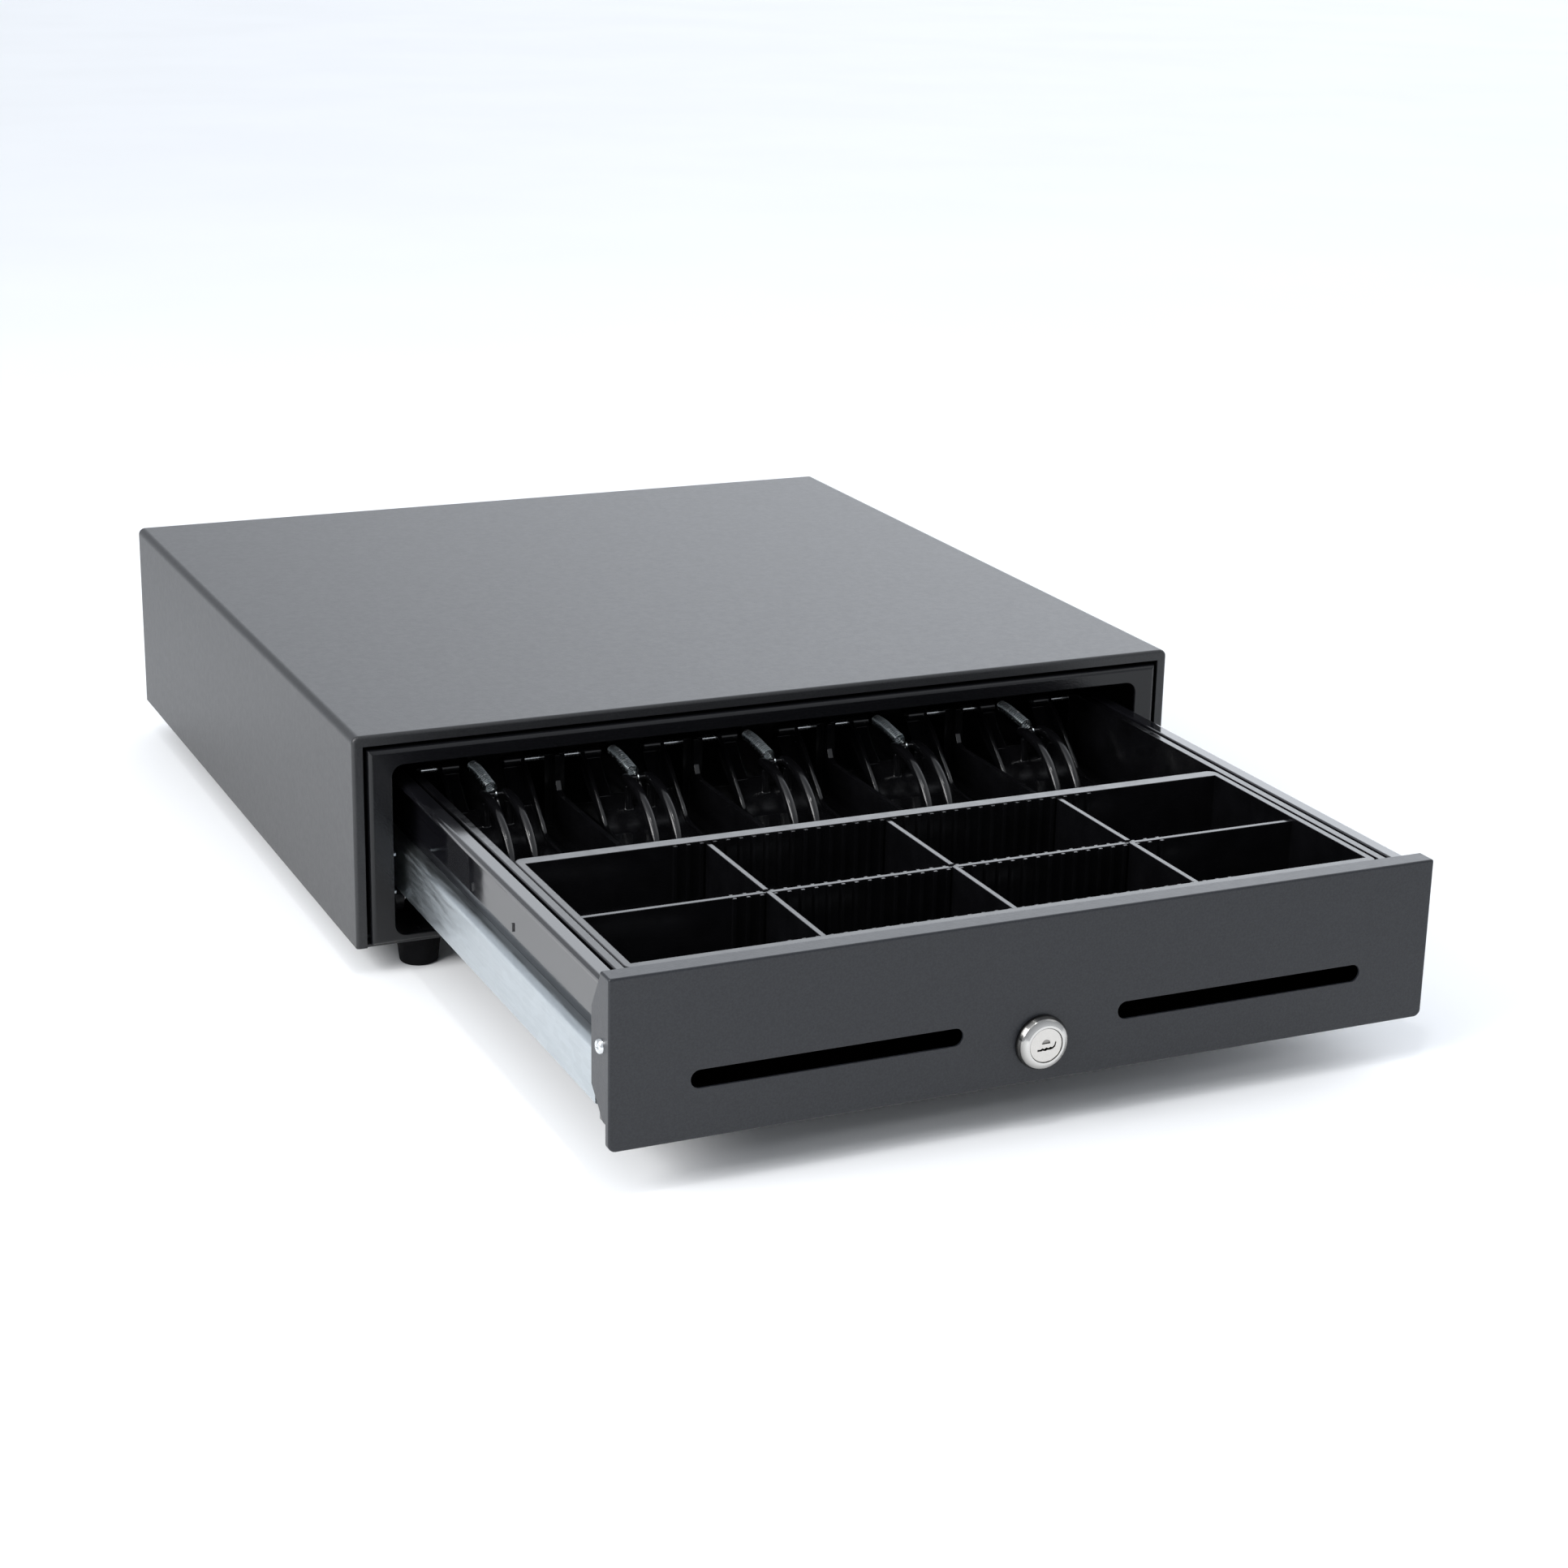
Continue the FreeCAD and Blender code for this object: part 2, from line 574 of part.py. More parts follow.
def front_screws():
    screws = [screw("x" if sign > 0 else "-x", (f"{sign} * front_x", "screw_y", "screw_z"),
                    "3.1", "1.7", SCREW_R, "5") for sign in SIDES.values()]
    return sub_part("front_screws", *screws)


def striker():
    """Catch on the back of the drawer: an upright pin between two ears."""
    plate = block(("-12", "12"), ("pan_back", "pan_back + steel"), ("20", "52"))
    ears = [block(("-7", "7"), ("pan_back", "catch_y + 8"), (f"mech_z {low}", f"mech_z {high}"))
            for low, high in (("- 8", "- 6.8"), ("+ 6.8", "+ 8"))]
    pin = rod("z", ("0", "catch_y", "mech_z - 7"), "14", "2")
    return sub_part("striker", joined(plate, *ears, pin))


def till_ledges():
    """Two angles inside the drawer's walls, which carry the till above the media space."""
    ledges = []
    for sign in SIDES.values():
        shelf = block(span(sign, "164", "wall_x - plate"), ("-230", "50"), ("till_low - 1.2", "till_low"))
        leg = block(span(sign, "wall_x - plate * 2", "wall_x - plate"), ("-230", "50"), ("24", "till_low"))
        ledges.append(joined(shelf, leg))
    return sub_part("till_ledges", *ledges)


# ---------------------------------------------------------------- the lock

BARREL_R, BARREL_LONG, PLUG_R, BORE_R = "9.5", "26", "7.3", "7.35"
BEZEL_R, BEZEL_STEPS = "11.4", ("3.5", "1.4")


def lock_housing():
    """Domed bezel and threaded barrel of the lock."""
    high_step, low_step = BEZEL_STEPS
    dome, barrel_end = f"{LOCK_DOME}", f"-{BARREL_LONG}"
    body = turned([(BORE_R, dome), ("8.3", dome), ("10.4", high_step), (BEZEL_R, low_step), (BEZEL_R, "0"),
                   (BARREL_R, "0"), (BARREL_R, barrel_end), (BORE_R, barrel_end)])
    for step in BEZEL_STEPS:
        dress(body, "Fillet", "1.9", flat("z", step))
    return sub_part("lock_housing", aimed(body, "-y", ("0", "front_y", "lock_z")))


PLUG_FACE = "4.5"
KEY_SLOT = [("-3.8", "-2.2"), ("-1.9", "-2.3"), ("-1.5", "-2"), ("-0.2", "-2.4"), ("0.6", "-2"),
            ("1.8", "-2.1"), ("3", "-1.9"), ("4.1", "-1.1"), ("4.6", "0.9"), ("4.1", "1.1"),
            ("3.7", "-0.4"), ("2.8", "-1.1"), ("1.9", "-0.9"), ("1.2", "-1.3"), ("0.2", "-0.9"),
            ("-0.7", "-1.4"), ("-1.6", "-1"), ("-2.4", "-1.5"), ("-3.8", "-1.4")]
HALF_ROUND = [("1.9", "0.6"), ("1.65", "1.55"), ("0.95", "2.25"), ("0", "2.5"), ("-0.95", "2.25"),
              ("-1.65", "1.55"), ("-1.9", "0.6")]


def lock_plug():
    """Turning plug with a wavy key slot, turned up at its right end, and a half-round recess above it."""
    body = turned([("0", PLUG_FACE), (PLUG_R, PLUG_FACE), (PLUG_R, "-26.4"), ("0", "-26.4")])
    dress(body, "Fillet", "0.4", lambda low, high: near(low.z, PLUG_FACE) and high.x > 7)
    slot = sketch_on(body, "xy", PLUG_FACE)
    outline(slot, KEY_SLOT)
    pocket(body, slot, "key_depth")
    mark = sketch_on(body, "xy", PLUG_FACE)
    outline(mark, HALF_ROUND)
    pocket(body, mark, "0.6")
    return sub_part("lock_plug", aimed(body, "-y", ("0", "front_y", "lock_z")))


def lock_cam():
    """Tongue on the back of the plug, level when the lock is free."""
    disc = rod("y", ("0", "front_y + 26.4", "lock_z"), "2", "8")
    tongue = block(("0", "20"), ("front_y + 26.4", "front_y + 28.4"), ("lock_z - 4", "lock_z + 4"))
    tongue = rounded(tongue, "3", lambda low, high: along("y")(low, high) and low.x > 10)
    hole = rod("y", ("0", "front_y + 20", "lock_z"), "20", "1.5")
    return sub_part("lock_cam", cut(joined(disc, tongue), hole))


def cam_screw():
    return sub_part("cam_screw", screw("y", ("0", "front_y + 28.4", "lock_z"), "3.4", "1.8", "1.5", "2"))


def lock_nut():
    """Flat hexagon nut behind the front plate."""
    nut = doc.addObject("Part::Prism", serial("Nut"))
    nut.Polygon = 6
    nut.setExpression("Circumradius", bound("13.5"))
    nut.setExpression("Height", bound("4"))
    nut.Placement = FreeCAD.Placement(V(), TURN["y"])
    nut.setExpression("Placement.Base.y", bound("front_y + plate"))
    nut.setExpression("Placement.Base.z", bound("lock_z"))
    return sub_part("lock_nut", cut(nut, rod("y", ("0", "front_y", "lock_z"), "10", BARREL_R)))


def lock_keeper():
    """Upright tab on the floor of the case, which the turned-down tongue locks behind."""
    tab = block(("-12", "12"), ("20", "20 + steel"), ("steel", "7"))
    foot = block(("-12", "12"), ("9", "20 + steel"), ("steel", "steel * 2"))
    return sub_part("lock_keeper", joined(tab, foot))


# ---------------------------------------------------------------- the till

BILL_CENTRES = [f"{n} * bill_pitch" for n in (-2, -1, 0, 1, 2)]
DIVIDERS = [f"{n} * bill_pitch" for n in (-1.5, -0.5, 0.5, 1.5)]


def till_body():
    """The till without its compartments: a tub with an outward rim."""
    tub = block(("-till_x", "till_x"), ("till_front", "till_back"), ("till_low", "till_top"))
    tub = rounded(tub, "4", along("z"))
    rim = block(("-till_rim", "till_rim"), ("till_front - 1.5", "till_back + 1.3"),
                ("till_top - 2", "till_top"))
    rim = rounded(rim, "5.5", along("z"))
    return rounded(joined(tub, rim), "0.7", flat("z", "till_top"))


def till_rooms():
    """The hollows of the till: one well for the coin tray and five for notes, over low dividers."""
    well = block(("-till_in", "till_in"), ("till_front + till_wall", "bill_front - till_wall"),
                 ("till_floor", "till_top + 1"))
    rooms = [rounded(well, "3", along("z"))]
    edges = ["-till_in"] + DIVIDERS + ["till_in"]
    for left, right in zip(edges, edges[1:]):
        low = left if left == "-till_in" else f"{left} + divider_w / 2"
        high = right if right == "till_in" else f"{right} - divider_w / 2"
        room = block((low, high), ("bill_front", "till_back - till_wall"), ("till_floor", "till_top + 1"))
        rooms.append(rounded(room, "2", along("z")))
    rooms.append(block(("-till_in", "till_in"), ("bill_front - till_wall - 4", "bill_front + 1"),
                       ("till_top - 2.5", "till_top + 1")))
    slope = [("bill_front - 1", "divider_top"), ("14", "divider_top"), ("18.5", "divider_top + 1.6"),
             ("20.4", "divider_top + 5.5"), ("20.8", "divider_top + 19"),
             ("bill_front - 1", "divider_top + 19")]
    rooms.append(prism("yz", slope, "-till_in", "till_in"))
    return rooms


def till():
    """Plastic till: tub, wells, axle posts, floor ribs and a lug for each clip's spring."""
    tub = till_body()
    extras = []
    for place in DIVIDERS:
        half = "(bill_pitch / 2 - axle_out)"
        extras.append(block((f"{place} - {half}", f"{place} + {half}"),
                            ("axle_y - 5", "axle_y + 5"), ("till_floor", "till_top - 0.6")))
    for sign in SIDES.values():
        extras.append(block(span(sign, "2 * bill_pitch + axle_out", "till_in"),
                            ("axle_y - 5", "axle_y + 5"), ("till_floor", "till_top - 0.6")))
    for centre in BILL_CENTRES:
        extras.append(block((f"{centre} - 1.2", f"{centre} + 1.2"), ("44", "till_back - till_wall"),
                            ("62", "69")))
        for step in range(-4, 5):
            extras.append(block((f"{centre} + {step} * 7 - 0.5", f"{centre} + {step} * 7 + 0.5"),
                                ("bill_front + 6", "till_back - till_wall - 6"),
                                ("till_floor", "till_floor + 0.8")))
    drills = [rod("x", ("-till_in + 1.5", "axle_y", "axle_z"), "2 * till_in - 3", "axle_r")]
    drills += [rod("x", (f"{centre} - 2", "46.4", "66"), "4", "1.1") for centre in BILL_CENTRES]
    return sub_part("till", cut(joined(cut(tub, *till_rooms()), *extras), *drills))


def clip_axles():
    """Two short steel pins for each clip, pressed into the till's posts."""
    pins = []
    for centre in BILL_CENTRES:
        for sign in SIDES.values():
            low, high = span(sign, "12", "axle_out + 1.2")
            pins.append(rod("x", (f"{centre} + {low}", "axle_y", "axle_z"), f"({high}) - ({low})",
                            "axle_r"))
    return sub_part("clip_axles", *pins)


def bill_clip(place, centre):
    """Hinged hold-down: two hubs, a sloping plate with raised edges and two arched fingers."""
    hubs = [rod("x", (f"{centre} + {span(sign, '10.5', 'clip_half')[0]}", "axle_y", "axle_z"),
                "clip_half - 10.5", "3.2") for sign in SIDES.values()]
    slope = [("axle_y + 0.5", "axle_z - 2.9"), ("axle_y - 7", "61.2"), ("12", "53.2"), ("-6", "41.4"),
             ("-33", "41.4"), ("-34.5", "43"), ("-36", "42.6"), ("-34.2", "39.3"), ("-6.6", "39.3"),
             ("11", "50.9"), ("axle_y - 6", "58.6"), ("axle_y + 2", "axle_z - 2.5")]
    plate = prism("yz", slope, f"{centre} - clip_half", f"{centre} + clip_half")
    window = block((f"{centre} - 10.5", f"{centre} + 10.5"), ("13", "axle_y + 6"), ("40", "80"))
    edge = [("axle_y - 1", "axle_z + 2.6"), ("19", "65.2"), ("11", "57.6"), ("-5", "44.5"), ("-30", "43"),
            ("-33", "40.5"), ("-6", "40"), ("12", "52"), ("axle_y", "axle_z - 2")]
    edges = [prism("yz", edge, *[f"{centre} + {x}" for x in span(sign, "clip_half - 1.8", "clip_half")])
             for sign in SIDES.values()]
    finger = [("11", "64"), ("4", "64.4"), ("-6", "63.4"), ("-15", "60.2"), ("-23", "54.6"),
              ("-29.5", "47.4"), ("-32.5", "40"), ("-28", "40"), ("-25.5", "45.4"), ("-19.8", "51.4"),
              ("-12.5", "56.2"), ("-4", "59"), ("4", "60"), ("4", "46"), ("7", "46"), ("7", "60.2"),
              ("11", "60.2")]
    fingers = [prism("yz", finger, *[f"{centre} + {x}" for x in span(sign, "3.2", "7.6")])
               for sign in SIDES.values()]
    bar = rod("x", (f"{centre} - 4", "8.6", "62.2"), "8", "1.25")
    bore = rod("x", (f"{centre} - 25", "axle_y", "axle_z"), "50", "axle_r + 0.05")
    clip = cut(joined(cut(plate, window), *edges, *hubs, *fingers, bar), bore)
    return sub_part(f"bill_clip_{place}", clip)


def clip_spring(place, centre):
    """Extension spring between the till's lug and the clip's bar, as a plain closed body."""
    coil = rod("y", (centre, "13.5", "64.5"), "27", "3")
    hook = rod("y", (centre, "10.4", "64.5"), "4", "0.5")
    tail = rod("y", (centre, "40", "64.5"), "3.4", "0.5")
    return sub_part(f"clip_spring_{place}", joined(coil, hook, tail))


# ---------------------------------------------------------------- the coin tray

TEETH = 34
TOOTH_FIRST = f"-({TEETH} - 1) / 2 * tooth_pitch"


def comb(y_wall, direction, low, high):
    """A row of small upright teeth on one wall of the coin tray, held by a strip inside the wall."""
    inside = f"{y_wall} - {direction} * 0.6"
    covered = f"{y_wall} - {direction} * 0.1"
    tip = f"{y_wall} + {direction} * 1.4"
    first_side, last_side = f"{TOOTH_FIRST} - tooth_w / 2", f"tooth_w / 2 - ({TOOTH_FIRST})"
    body = new_body("Comb")
    strip = sketch_on(body, "xy", low)
    outline(strip, [(first_side, inside), (last_side, inside), (last_side, covered), (first_side, covered)])
    pad(body, strip, f"({high}) - ({low})")
    tooth = sketch_on(body, "xy", low)
    outline(tooth, [(first_side, inside), (f"{TOOTH_FIRST} + tooth_w / 2", inside),
                    (f"{TOOTH_FIRST} + tooth_w / 2", tip), (first_side, tip)])
    first = pad(body, tooth, f"({high}) - ({low})")
    pattern = body.newObject("PartDesign::LinearPattern", serial("Teeth"))
    pattern.Originals = [first]
    pattern.Direction = (strip, ["H_Axis"])
    pattern.setExpression("Length", bound(f"({TEETH} - 1) * tooth_pitch"))
    pattern.Occurrences = TEETH
    body.Tip = pattern
    doc.recompute()
    return body


def coin_tray():
    """Lift-out tray: two rows of coin cells with scooped floors and toothed walls for the dividers."""
    tub = block(("-coin_x", "coin_x"), ("coin_front", "coin_back + 2"), ("coin_low", "coin_top"))
    tub = rounded(tub, "3", along("z"))
    rim = block(("-coin_rim", "coin_rim"), ("coin_front - 1", "coin_edge"), ("coin_top - 2", "coin_top"))
    rim = rounded(rim, "4.5", along("z"))
    body = rounded(joined(tub, rim), "0.7", flat("z", "coin_top"))
    rooms = []
    for low, high in (("coin_front + 4.2", "coin_mid - 1.1"), ("coin_mid + 1.1", "coin_back")):
        room = block(("-coin_in", "coin_in"), (low, high), ("coin_floor", "coin_top + 1"))
        rooms.append(rounded(room, "9", lambda low, high: along("x")(low, high)
                             and near(low.z, "coin_floor")))
    step = block(("-coin_in", "coin_in"), ("coin_mid - 2", "coin_mid + 2"),
                 ("coin_top - 1.6", "coin_top + 1"))
    walls = [("coin_front + 4.2", 1, "0.4"), ("coin_mid - 1.1", -1, "1.8"), ("coin_mid + 1.1", 1, "1.8"),
             ("coin_back", -1, "0.4")]
    combs = [comb(place, direction, "coin_floor + 8", f"coin_top - {below}")
             for place, direction, below in walls]
    return sub_part("coin_tray", joined(cut(body, *rooms, step), *combs))


def coin_dividers():
    """Six thin loose dividers, three in each row, standing between the teeth."""
    plates = []
    for low, high in (("coin_front + 4.4", "coin_mid - 1.3"), ("coin_mid + 1.3", "coin_back - 0.2")):
        for n in (-1, 0, 1):
            plate = block((f"{n} * coin_pitch - coin_divider / 2", f"{n} * coin_pitch + coin_divider / 2"),
                          (low, high), ("coin_floor + 0.1", "coin_top - 1"))
            plates.append(rounded(plate, "9.3", lambda low, high: along("x")(low, high)
                                  and near(low.z, "coin_floor + 0.1")))
    return sub_part("coin_dividers", *plates)


# ---------------------------------------------------------------- release mechanism at the back

def mech_deck():
    """Folded bridge that carries the release mechanism above the floor of the case."""
    deck = block(("-84", "54"), ("311", "400"), ("deck_z", "deck_z + steel"))
    legs = [block((x, f"{x} + steel"), ("311", "400"), ("steel", "deck_z")) for x in ("-84", "54 - steel")]
    return sub_part("mech_deck", joined(deck, *legs))


def pivot_post():
    """Shouldered post that the latch lever turns on."""
    base = "deck_z + steel - mech_z"
    post = turned([("0", base), ("4.5", base), ("4.5", "-1.8"), ("2.5", "-1.8"), ("2.5", "1.8"),
                   ("4", "1.8"), ("4", "3"), ("0", "3")])
    return sub_part("pivot_post", aimed(post, "z", ("pivot_x", "pivot_y", "mech_z")))


def latch_lever():
    """Flat lever whose finger holds the catch pin, with a side tab for the plunger and a tail."""
    places = [("pivot_x - 5", "pivot_y + 18"), ("pivot_x - 5", "coil_y + 5"), ("-38", "coil_y + 5"),
              ("-38", "coil_y - 6.6"), ("pivot_x - 5", "coil_y - 6.6"), ("pivot_x - 5", "318.6"),
              ("-3", "318.6"), ("3", "322"), ("3", "324.9"), ("pivot_x + 6", "324.9"),
              ("pivot_x + 5", "pivot_y + 18")]
    plate = prism("xy", places, "mech_z - 1.5", "mech_z + 1.5")
    boss = rod("z", ("pivot_x", "pivot_y", "mech_z - 1.5"), "3", "8")
    bore = rod("z", ("pivot_x", "pivot_y", "mech_z - 5"), "10", "2.55")
    slot = block(("-34.2", "-30.8"), ("coil_y - 4.4", "coil_y + 2"), ("mech_z - 5", "mech_z + 5"))
    eye = rod("z", ("pivot_x", "pivot_y + 14", "mech_z - 5"), "10", "1.2")
    return sub_part("latch_lever", cut(joined(plate, boss), bore, slot, eye))


def solenoid_frame():
    """U-shaped yoke of the solenoid, fixed to the deck."""
    floor = block(("-78", "-44"), ("coil_y - 12", "coil_y + 12"),
                  ("deck_z + steel", "deck_z + steel + 1.5"))
    ends = [block((x, f"{x} + 1.5"), ("coil_y - 12", "coil_y + 12"), ("deck_z + steel", "mech_z + 12"))
            for x in ("-78", "-45.5")]
    bore = rod("x", ("-50", "coil_y", "mech_z"), "10", "5.4")
    return sub_part("solenoid_frame", cut(joined(floor, *ends), bore))


def solenoid_coil():
    """Wound bobbin between the yoke's ends."""
    coil = turned([("5.3", "0"), ("10.5", "0"), ("10.5", "1.2"), ("9.4", "1.2"), ("9.4", "29.8"),
                   ("10.5", "29.8"), ("10.5", "31"), ("5.3", "31")])
    return sub_part("solenoid_coil", aimed(coil, "x", ("-76.5", "coil_y", "mech_z")))


def within_core(prong):
    """Keep only what of a prong lies inside the core's round outline."""
    common = doc.addObject("Part::Common", serial("Common"))
    common.Base = prong
    common.Tool = rod("x", ("-44", "coil_y", "mech_z"), "16", "5")
    return common


def plunger():
    """Sliding core of the solenoid, forked around the lever's tab, with a cross pin."""
    core = rod("x", ("-70", "coil_y", "mech_z"), "30", "5")
    prongs = [block(("-44", "-28"), ("coil_y - 4", "coil_y + 4"), (f"mech_z {low}", f"mech_z {high}"))
              for low, high in (("- 4", "- 1.9"), ("+ 1.9", "+ 4"))]
    prongs = [within_core(prong) for prong in prongs]
    pin = rod("z", ("-32.5", "coil_y", "mech_z - 3"), "6", "1.25")
    return sub_part("plunger", joined(core, *prongs, pin))


def lever_spring():
    """Extension spring from the lever's tail to a post on the deck."""
    coil = rod("x", ("-56", "pivot_y + 14", "mech_z"), "27", "2.5")
    return sub_part("lever_spring", coil)


def spring_post():
    post = rod("z", ("-60", "pivot_y + 14", "deck_z + steel"), "18", "2")
    return sub_part("spring_post", post)


def ejector_cup():
    """Cup on the deck that guides the spring which pushes the drawer open."""
    cup = rod("y", ("30", "330", "mech_z"), "24", "6")
    bore = rod("y", ("30", "329", "mech_z"), "22", "4.7")
    stand = block(("26", "34"), ("332", "352"), ("deck_z + steel", "mech_z - 5.2"))
    return sub_part("ejector_cup", joined(cut(cup, bore), stand))


def ejector_spring():
    coil = rod("y", ("30", "297", "mech_z"), "53.8", "4.2")
    return sub_part("ejector_spring", coil)


def microswitch():
    """Snap switch that senses the closed drawer, with its button towards the front."""
    body = block(("39", "50"), ("313", "333"), ("deck_z + steel", "deck_z + 13"))
    button = rod("y", ("46", "311.7", "deck_z + 7"), "2", "1.2")
    hinge = block(("38.4", "41"), ("311.4", "313.2"), ("deck_z + 4", "deck_z + 10"))
    return sub_part("microswitch", joined(body, button, hinge))


def switch_lever():
    blade = block(("38.6", "51"), ("310.2", "310.8"), ("deck_z + 4.5", "deck_z + 9.5"))
    curl = rod("z", ("38.6", "310.5", "deck_z + 4.5"), "5", "0.6")
    return sub_part("switch_lever", joined(blade, curl))


# ---------------------------------------------------------------- assembly

def build():
    for maker in (case_cover, case_base, front_frame, rear_panel, cable_socket, rubber_feet, foot_screws,
                  cover_screws, idler_pins, lock_keeper, mech_deck, pivot_post, solenoid_frame,
                  solenoid_coil, spring_post, lever_spring, ejector_cup, ejector_spring, microswitch,
                  switch_lever, plunger, latch_lever, drawer_pan, drawer_front, roller_pins,
                  front_screws, striker, till_ledges, till, clip_axles, lock_housing, lock_nut,
                  lock_plug, lock_cam, cam_screw, coin_tray, coin_dividers):
        maker()
    for side, sign in SIDES.items():
        channel(side)
        drawer_rail(side)
        roller(f"idler_{side}", sign, "idler_r", "176.9", "181.6", ("idler_y", "idler_z"))
        roller(f"roller_{side}", sign, "roller_r", "rail_x + 1.8", "rail_x + 7.9", ("roller_y", "roller_z"))
    for n, centre in enumerate(BILL_CENTRES, start=1):
        bill_clip(n, centre)
        clip_spring(n, centre)


def check_and_export():
    doc.recompute()
    for item in doc.Objects:
        if "Invalid" in item.State or "Error" in item.State:
            raise RuntimeError(f"{item.Label} did not build: {item.State}")
    os.makedirs("parts", exist_ok=True)
    for node in NODES:
        if node.Shape.isNull() or not node.Shape.isValid() or not node.Shape.Solids:
            raise RuntimeError(f"{node.Label} has no valid shape")
        node.Shape.exportStep(f"parts/{node.Label}.step")
        box = node.Shape.BoundBox
        print(f"{node.Label:18s} solids {len(node.Shape.Solids):2d}  X {box.XMin:8.2f} {box.XMax:8.2f}"
              f"  Y {box.YMin:8.2f} {box.YMax:8.2f}  Z {box.ZMin:7.2f} {box.ZMax:7.2f}")


build()
check_and_export()
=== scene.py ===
"""Looks of the cash drawer: finishes, wire springs, note clips, screws and a plain studio.

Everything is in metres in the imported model's own frame: X to the right seen from the front,
Y to the back of the case, Z up, the feet standing on Z = 0.
"""
import json
import math

import bmesh
import bpy
from mathutils import Matrix, Vector


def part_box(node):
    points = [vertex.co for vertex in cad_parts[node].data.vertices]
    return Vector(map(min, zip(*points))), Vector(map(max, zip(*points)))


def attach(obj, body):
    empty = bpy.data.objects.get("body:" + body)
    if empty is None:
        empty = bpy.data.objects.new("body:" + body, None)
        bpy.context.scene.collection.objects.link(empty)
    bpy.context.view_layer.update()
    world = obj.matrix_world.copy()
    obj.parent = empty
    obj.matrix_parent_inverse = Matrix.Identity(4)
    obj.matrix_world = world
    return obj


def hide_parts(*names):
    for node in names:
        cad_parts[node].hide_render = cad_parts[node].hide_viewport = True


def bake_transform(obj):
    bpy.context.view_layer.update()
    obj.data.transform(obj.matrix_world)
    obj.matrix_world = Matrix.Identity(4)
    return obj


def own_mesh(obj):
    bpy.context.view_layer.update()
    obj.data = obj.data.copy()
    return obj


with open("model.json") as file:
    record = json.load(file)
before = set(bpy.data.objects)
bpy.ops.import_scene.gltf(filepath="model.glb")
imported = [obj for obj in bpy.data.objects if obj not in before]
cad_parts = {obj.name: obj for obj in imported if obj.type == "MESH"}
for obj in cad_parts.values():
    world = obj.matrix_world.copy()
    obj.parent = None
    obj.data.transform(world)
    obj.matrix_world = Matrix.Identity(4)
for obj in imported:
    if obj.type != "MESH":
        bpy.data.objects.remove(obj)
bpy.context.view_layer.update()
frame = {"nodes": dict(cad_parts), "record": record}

MM = 0.001
CLIPS = range(1, 6)


# ---------------------------------------------------------------- materials

class Finish:
    """A Principled material whose colour, roughness and relief come from procedural detail."""

    def __init__(self, name, color, roughness, metallic=0.0, specular=0.5, **sockets):
        self.material = bpy.data.materials.new(name)
        self.material.use_nodes = True
        self.tree = self.material.node_tree
        self.shader = self.tree.nodes["Principled BSDF"]
        self.relief = None
        settings = {"Base Color": (*color, 1), "Roughness": roughness, "Metallic": metallic,
                    "Specular IOR Level": specular, **sockets}
        for socket, value in settings.items():
            self.shader.inputs[socket].default_value = value

    def node(self, kind, **inputs):
        made = self.tree.nodes.new(f"ShaderNode{kind}")
        for name, value in inputs.items():
            socket = made.inputs[name.replace("_", " ")]
            if isinstance(value, bpy.types.NodeSocket):
                self.tree.links.new(value, socket)
            else:
                socket.default_value = value
        return made

    def place(self, stretch=(1, 1, 1), centre=(0, 0, 0)):
        """Object coordinates from a centre, stretched for a grain that runs one way."""
        texture = self.node("TexCoord")
        shift = tuple(-c * s for c, s in zip(centre, stretch))
        return self.node("Mapping", Vector=texture.outputs["Object"], Scale=stretch,
                         Location=shift).outputs[0]

    def noise(self, size, detail=2.0, stretch=(1, 1, 1), distortion=0.0):
        """Soft noise with features of about the given size in metres."""
        return self.node("TexNoise", Vector=self.place(stretch), Scale=1 / size, Detail=detail,
                         Distortion=distortion).outputs[0]

    def cells(self, size, stretch=(1, 1, 1)):
        """One random grey for each cell of the given size, as on zinc spangle."""
        made = self.node("TexVoronoi", Vector=self.place(stretch), Scale=1 / size)
        return self.node("RGBToBW", Color=made.outputs["Color"]).outputs[0]

    def spread(self, value, low, high, start=0.3, end=0.7):
        """A value stretched from start..end to low..high."""
        made = self.node("MapRange", Value=value, From_Min=start, From_Max=end, To_Min=low, To_Max=high)
        return made.outputs[0]

    def tint(self, value, low, high, start=0.35, end=0.65):
        """Base colour that varies between two colours with a value."""
        mix = self.tree.nodes.new("ShaderNodeMix")
        mix.data_type = "RGBA"
        mix.inputs[6].default_value = (*low, 1)
        mix.inputs[7].default_value = (*high, 1)
        self.tree.links.new(self.spread(value, 0, 1, start, end), mix.inputs[0])
        self.tree.links.new(mix.outputs[2], self.shader.inputs["Base Color"])
        return self

    def rough(self, value, low, high, start=0.3, end=0.7):
        self.tree.links.new(self.spread(value, low, high, start, end), self.shader.inputs["Roughness"])
        return self

    def soften(self, radius):
        """Catch the light along edges as if they were rounded by this radius."""
        made = self.tree.nodes.new("ShaderNodeBevel")
        made.samples = 4
        made.inputs["Radius"].default_value = radius
        self.relief = made.outputs[0]
        self.tree.links.new(self.relief, self.shader.inputs["Normal"])
        return self

    def bump(self, height, distance, strength=1.0):
        made = self.node("Bump", Height=height, Distance=distance, Strength=strength)
        if self.relief is not None:
            self.tree.links.new(self.relief, made.inputs["Normal"])
        self.relief = made.outputs[0]
        self.tree.links.new(self.relief, self.shader.inputs["Normal"])
        return self


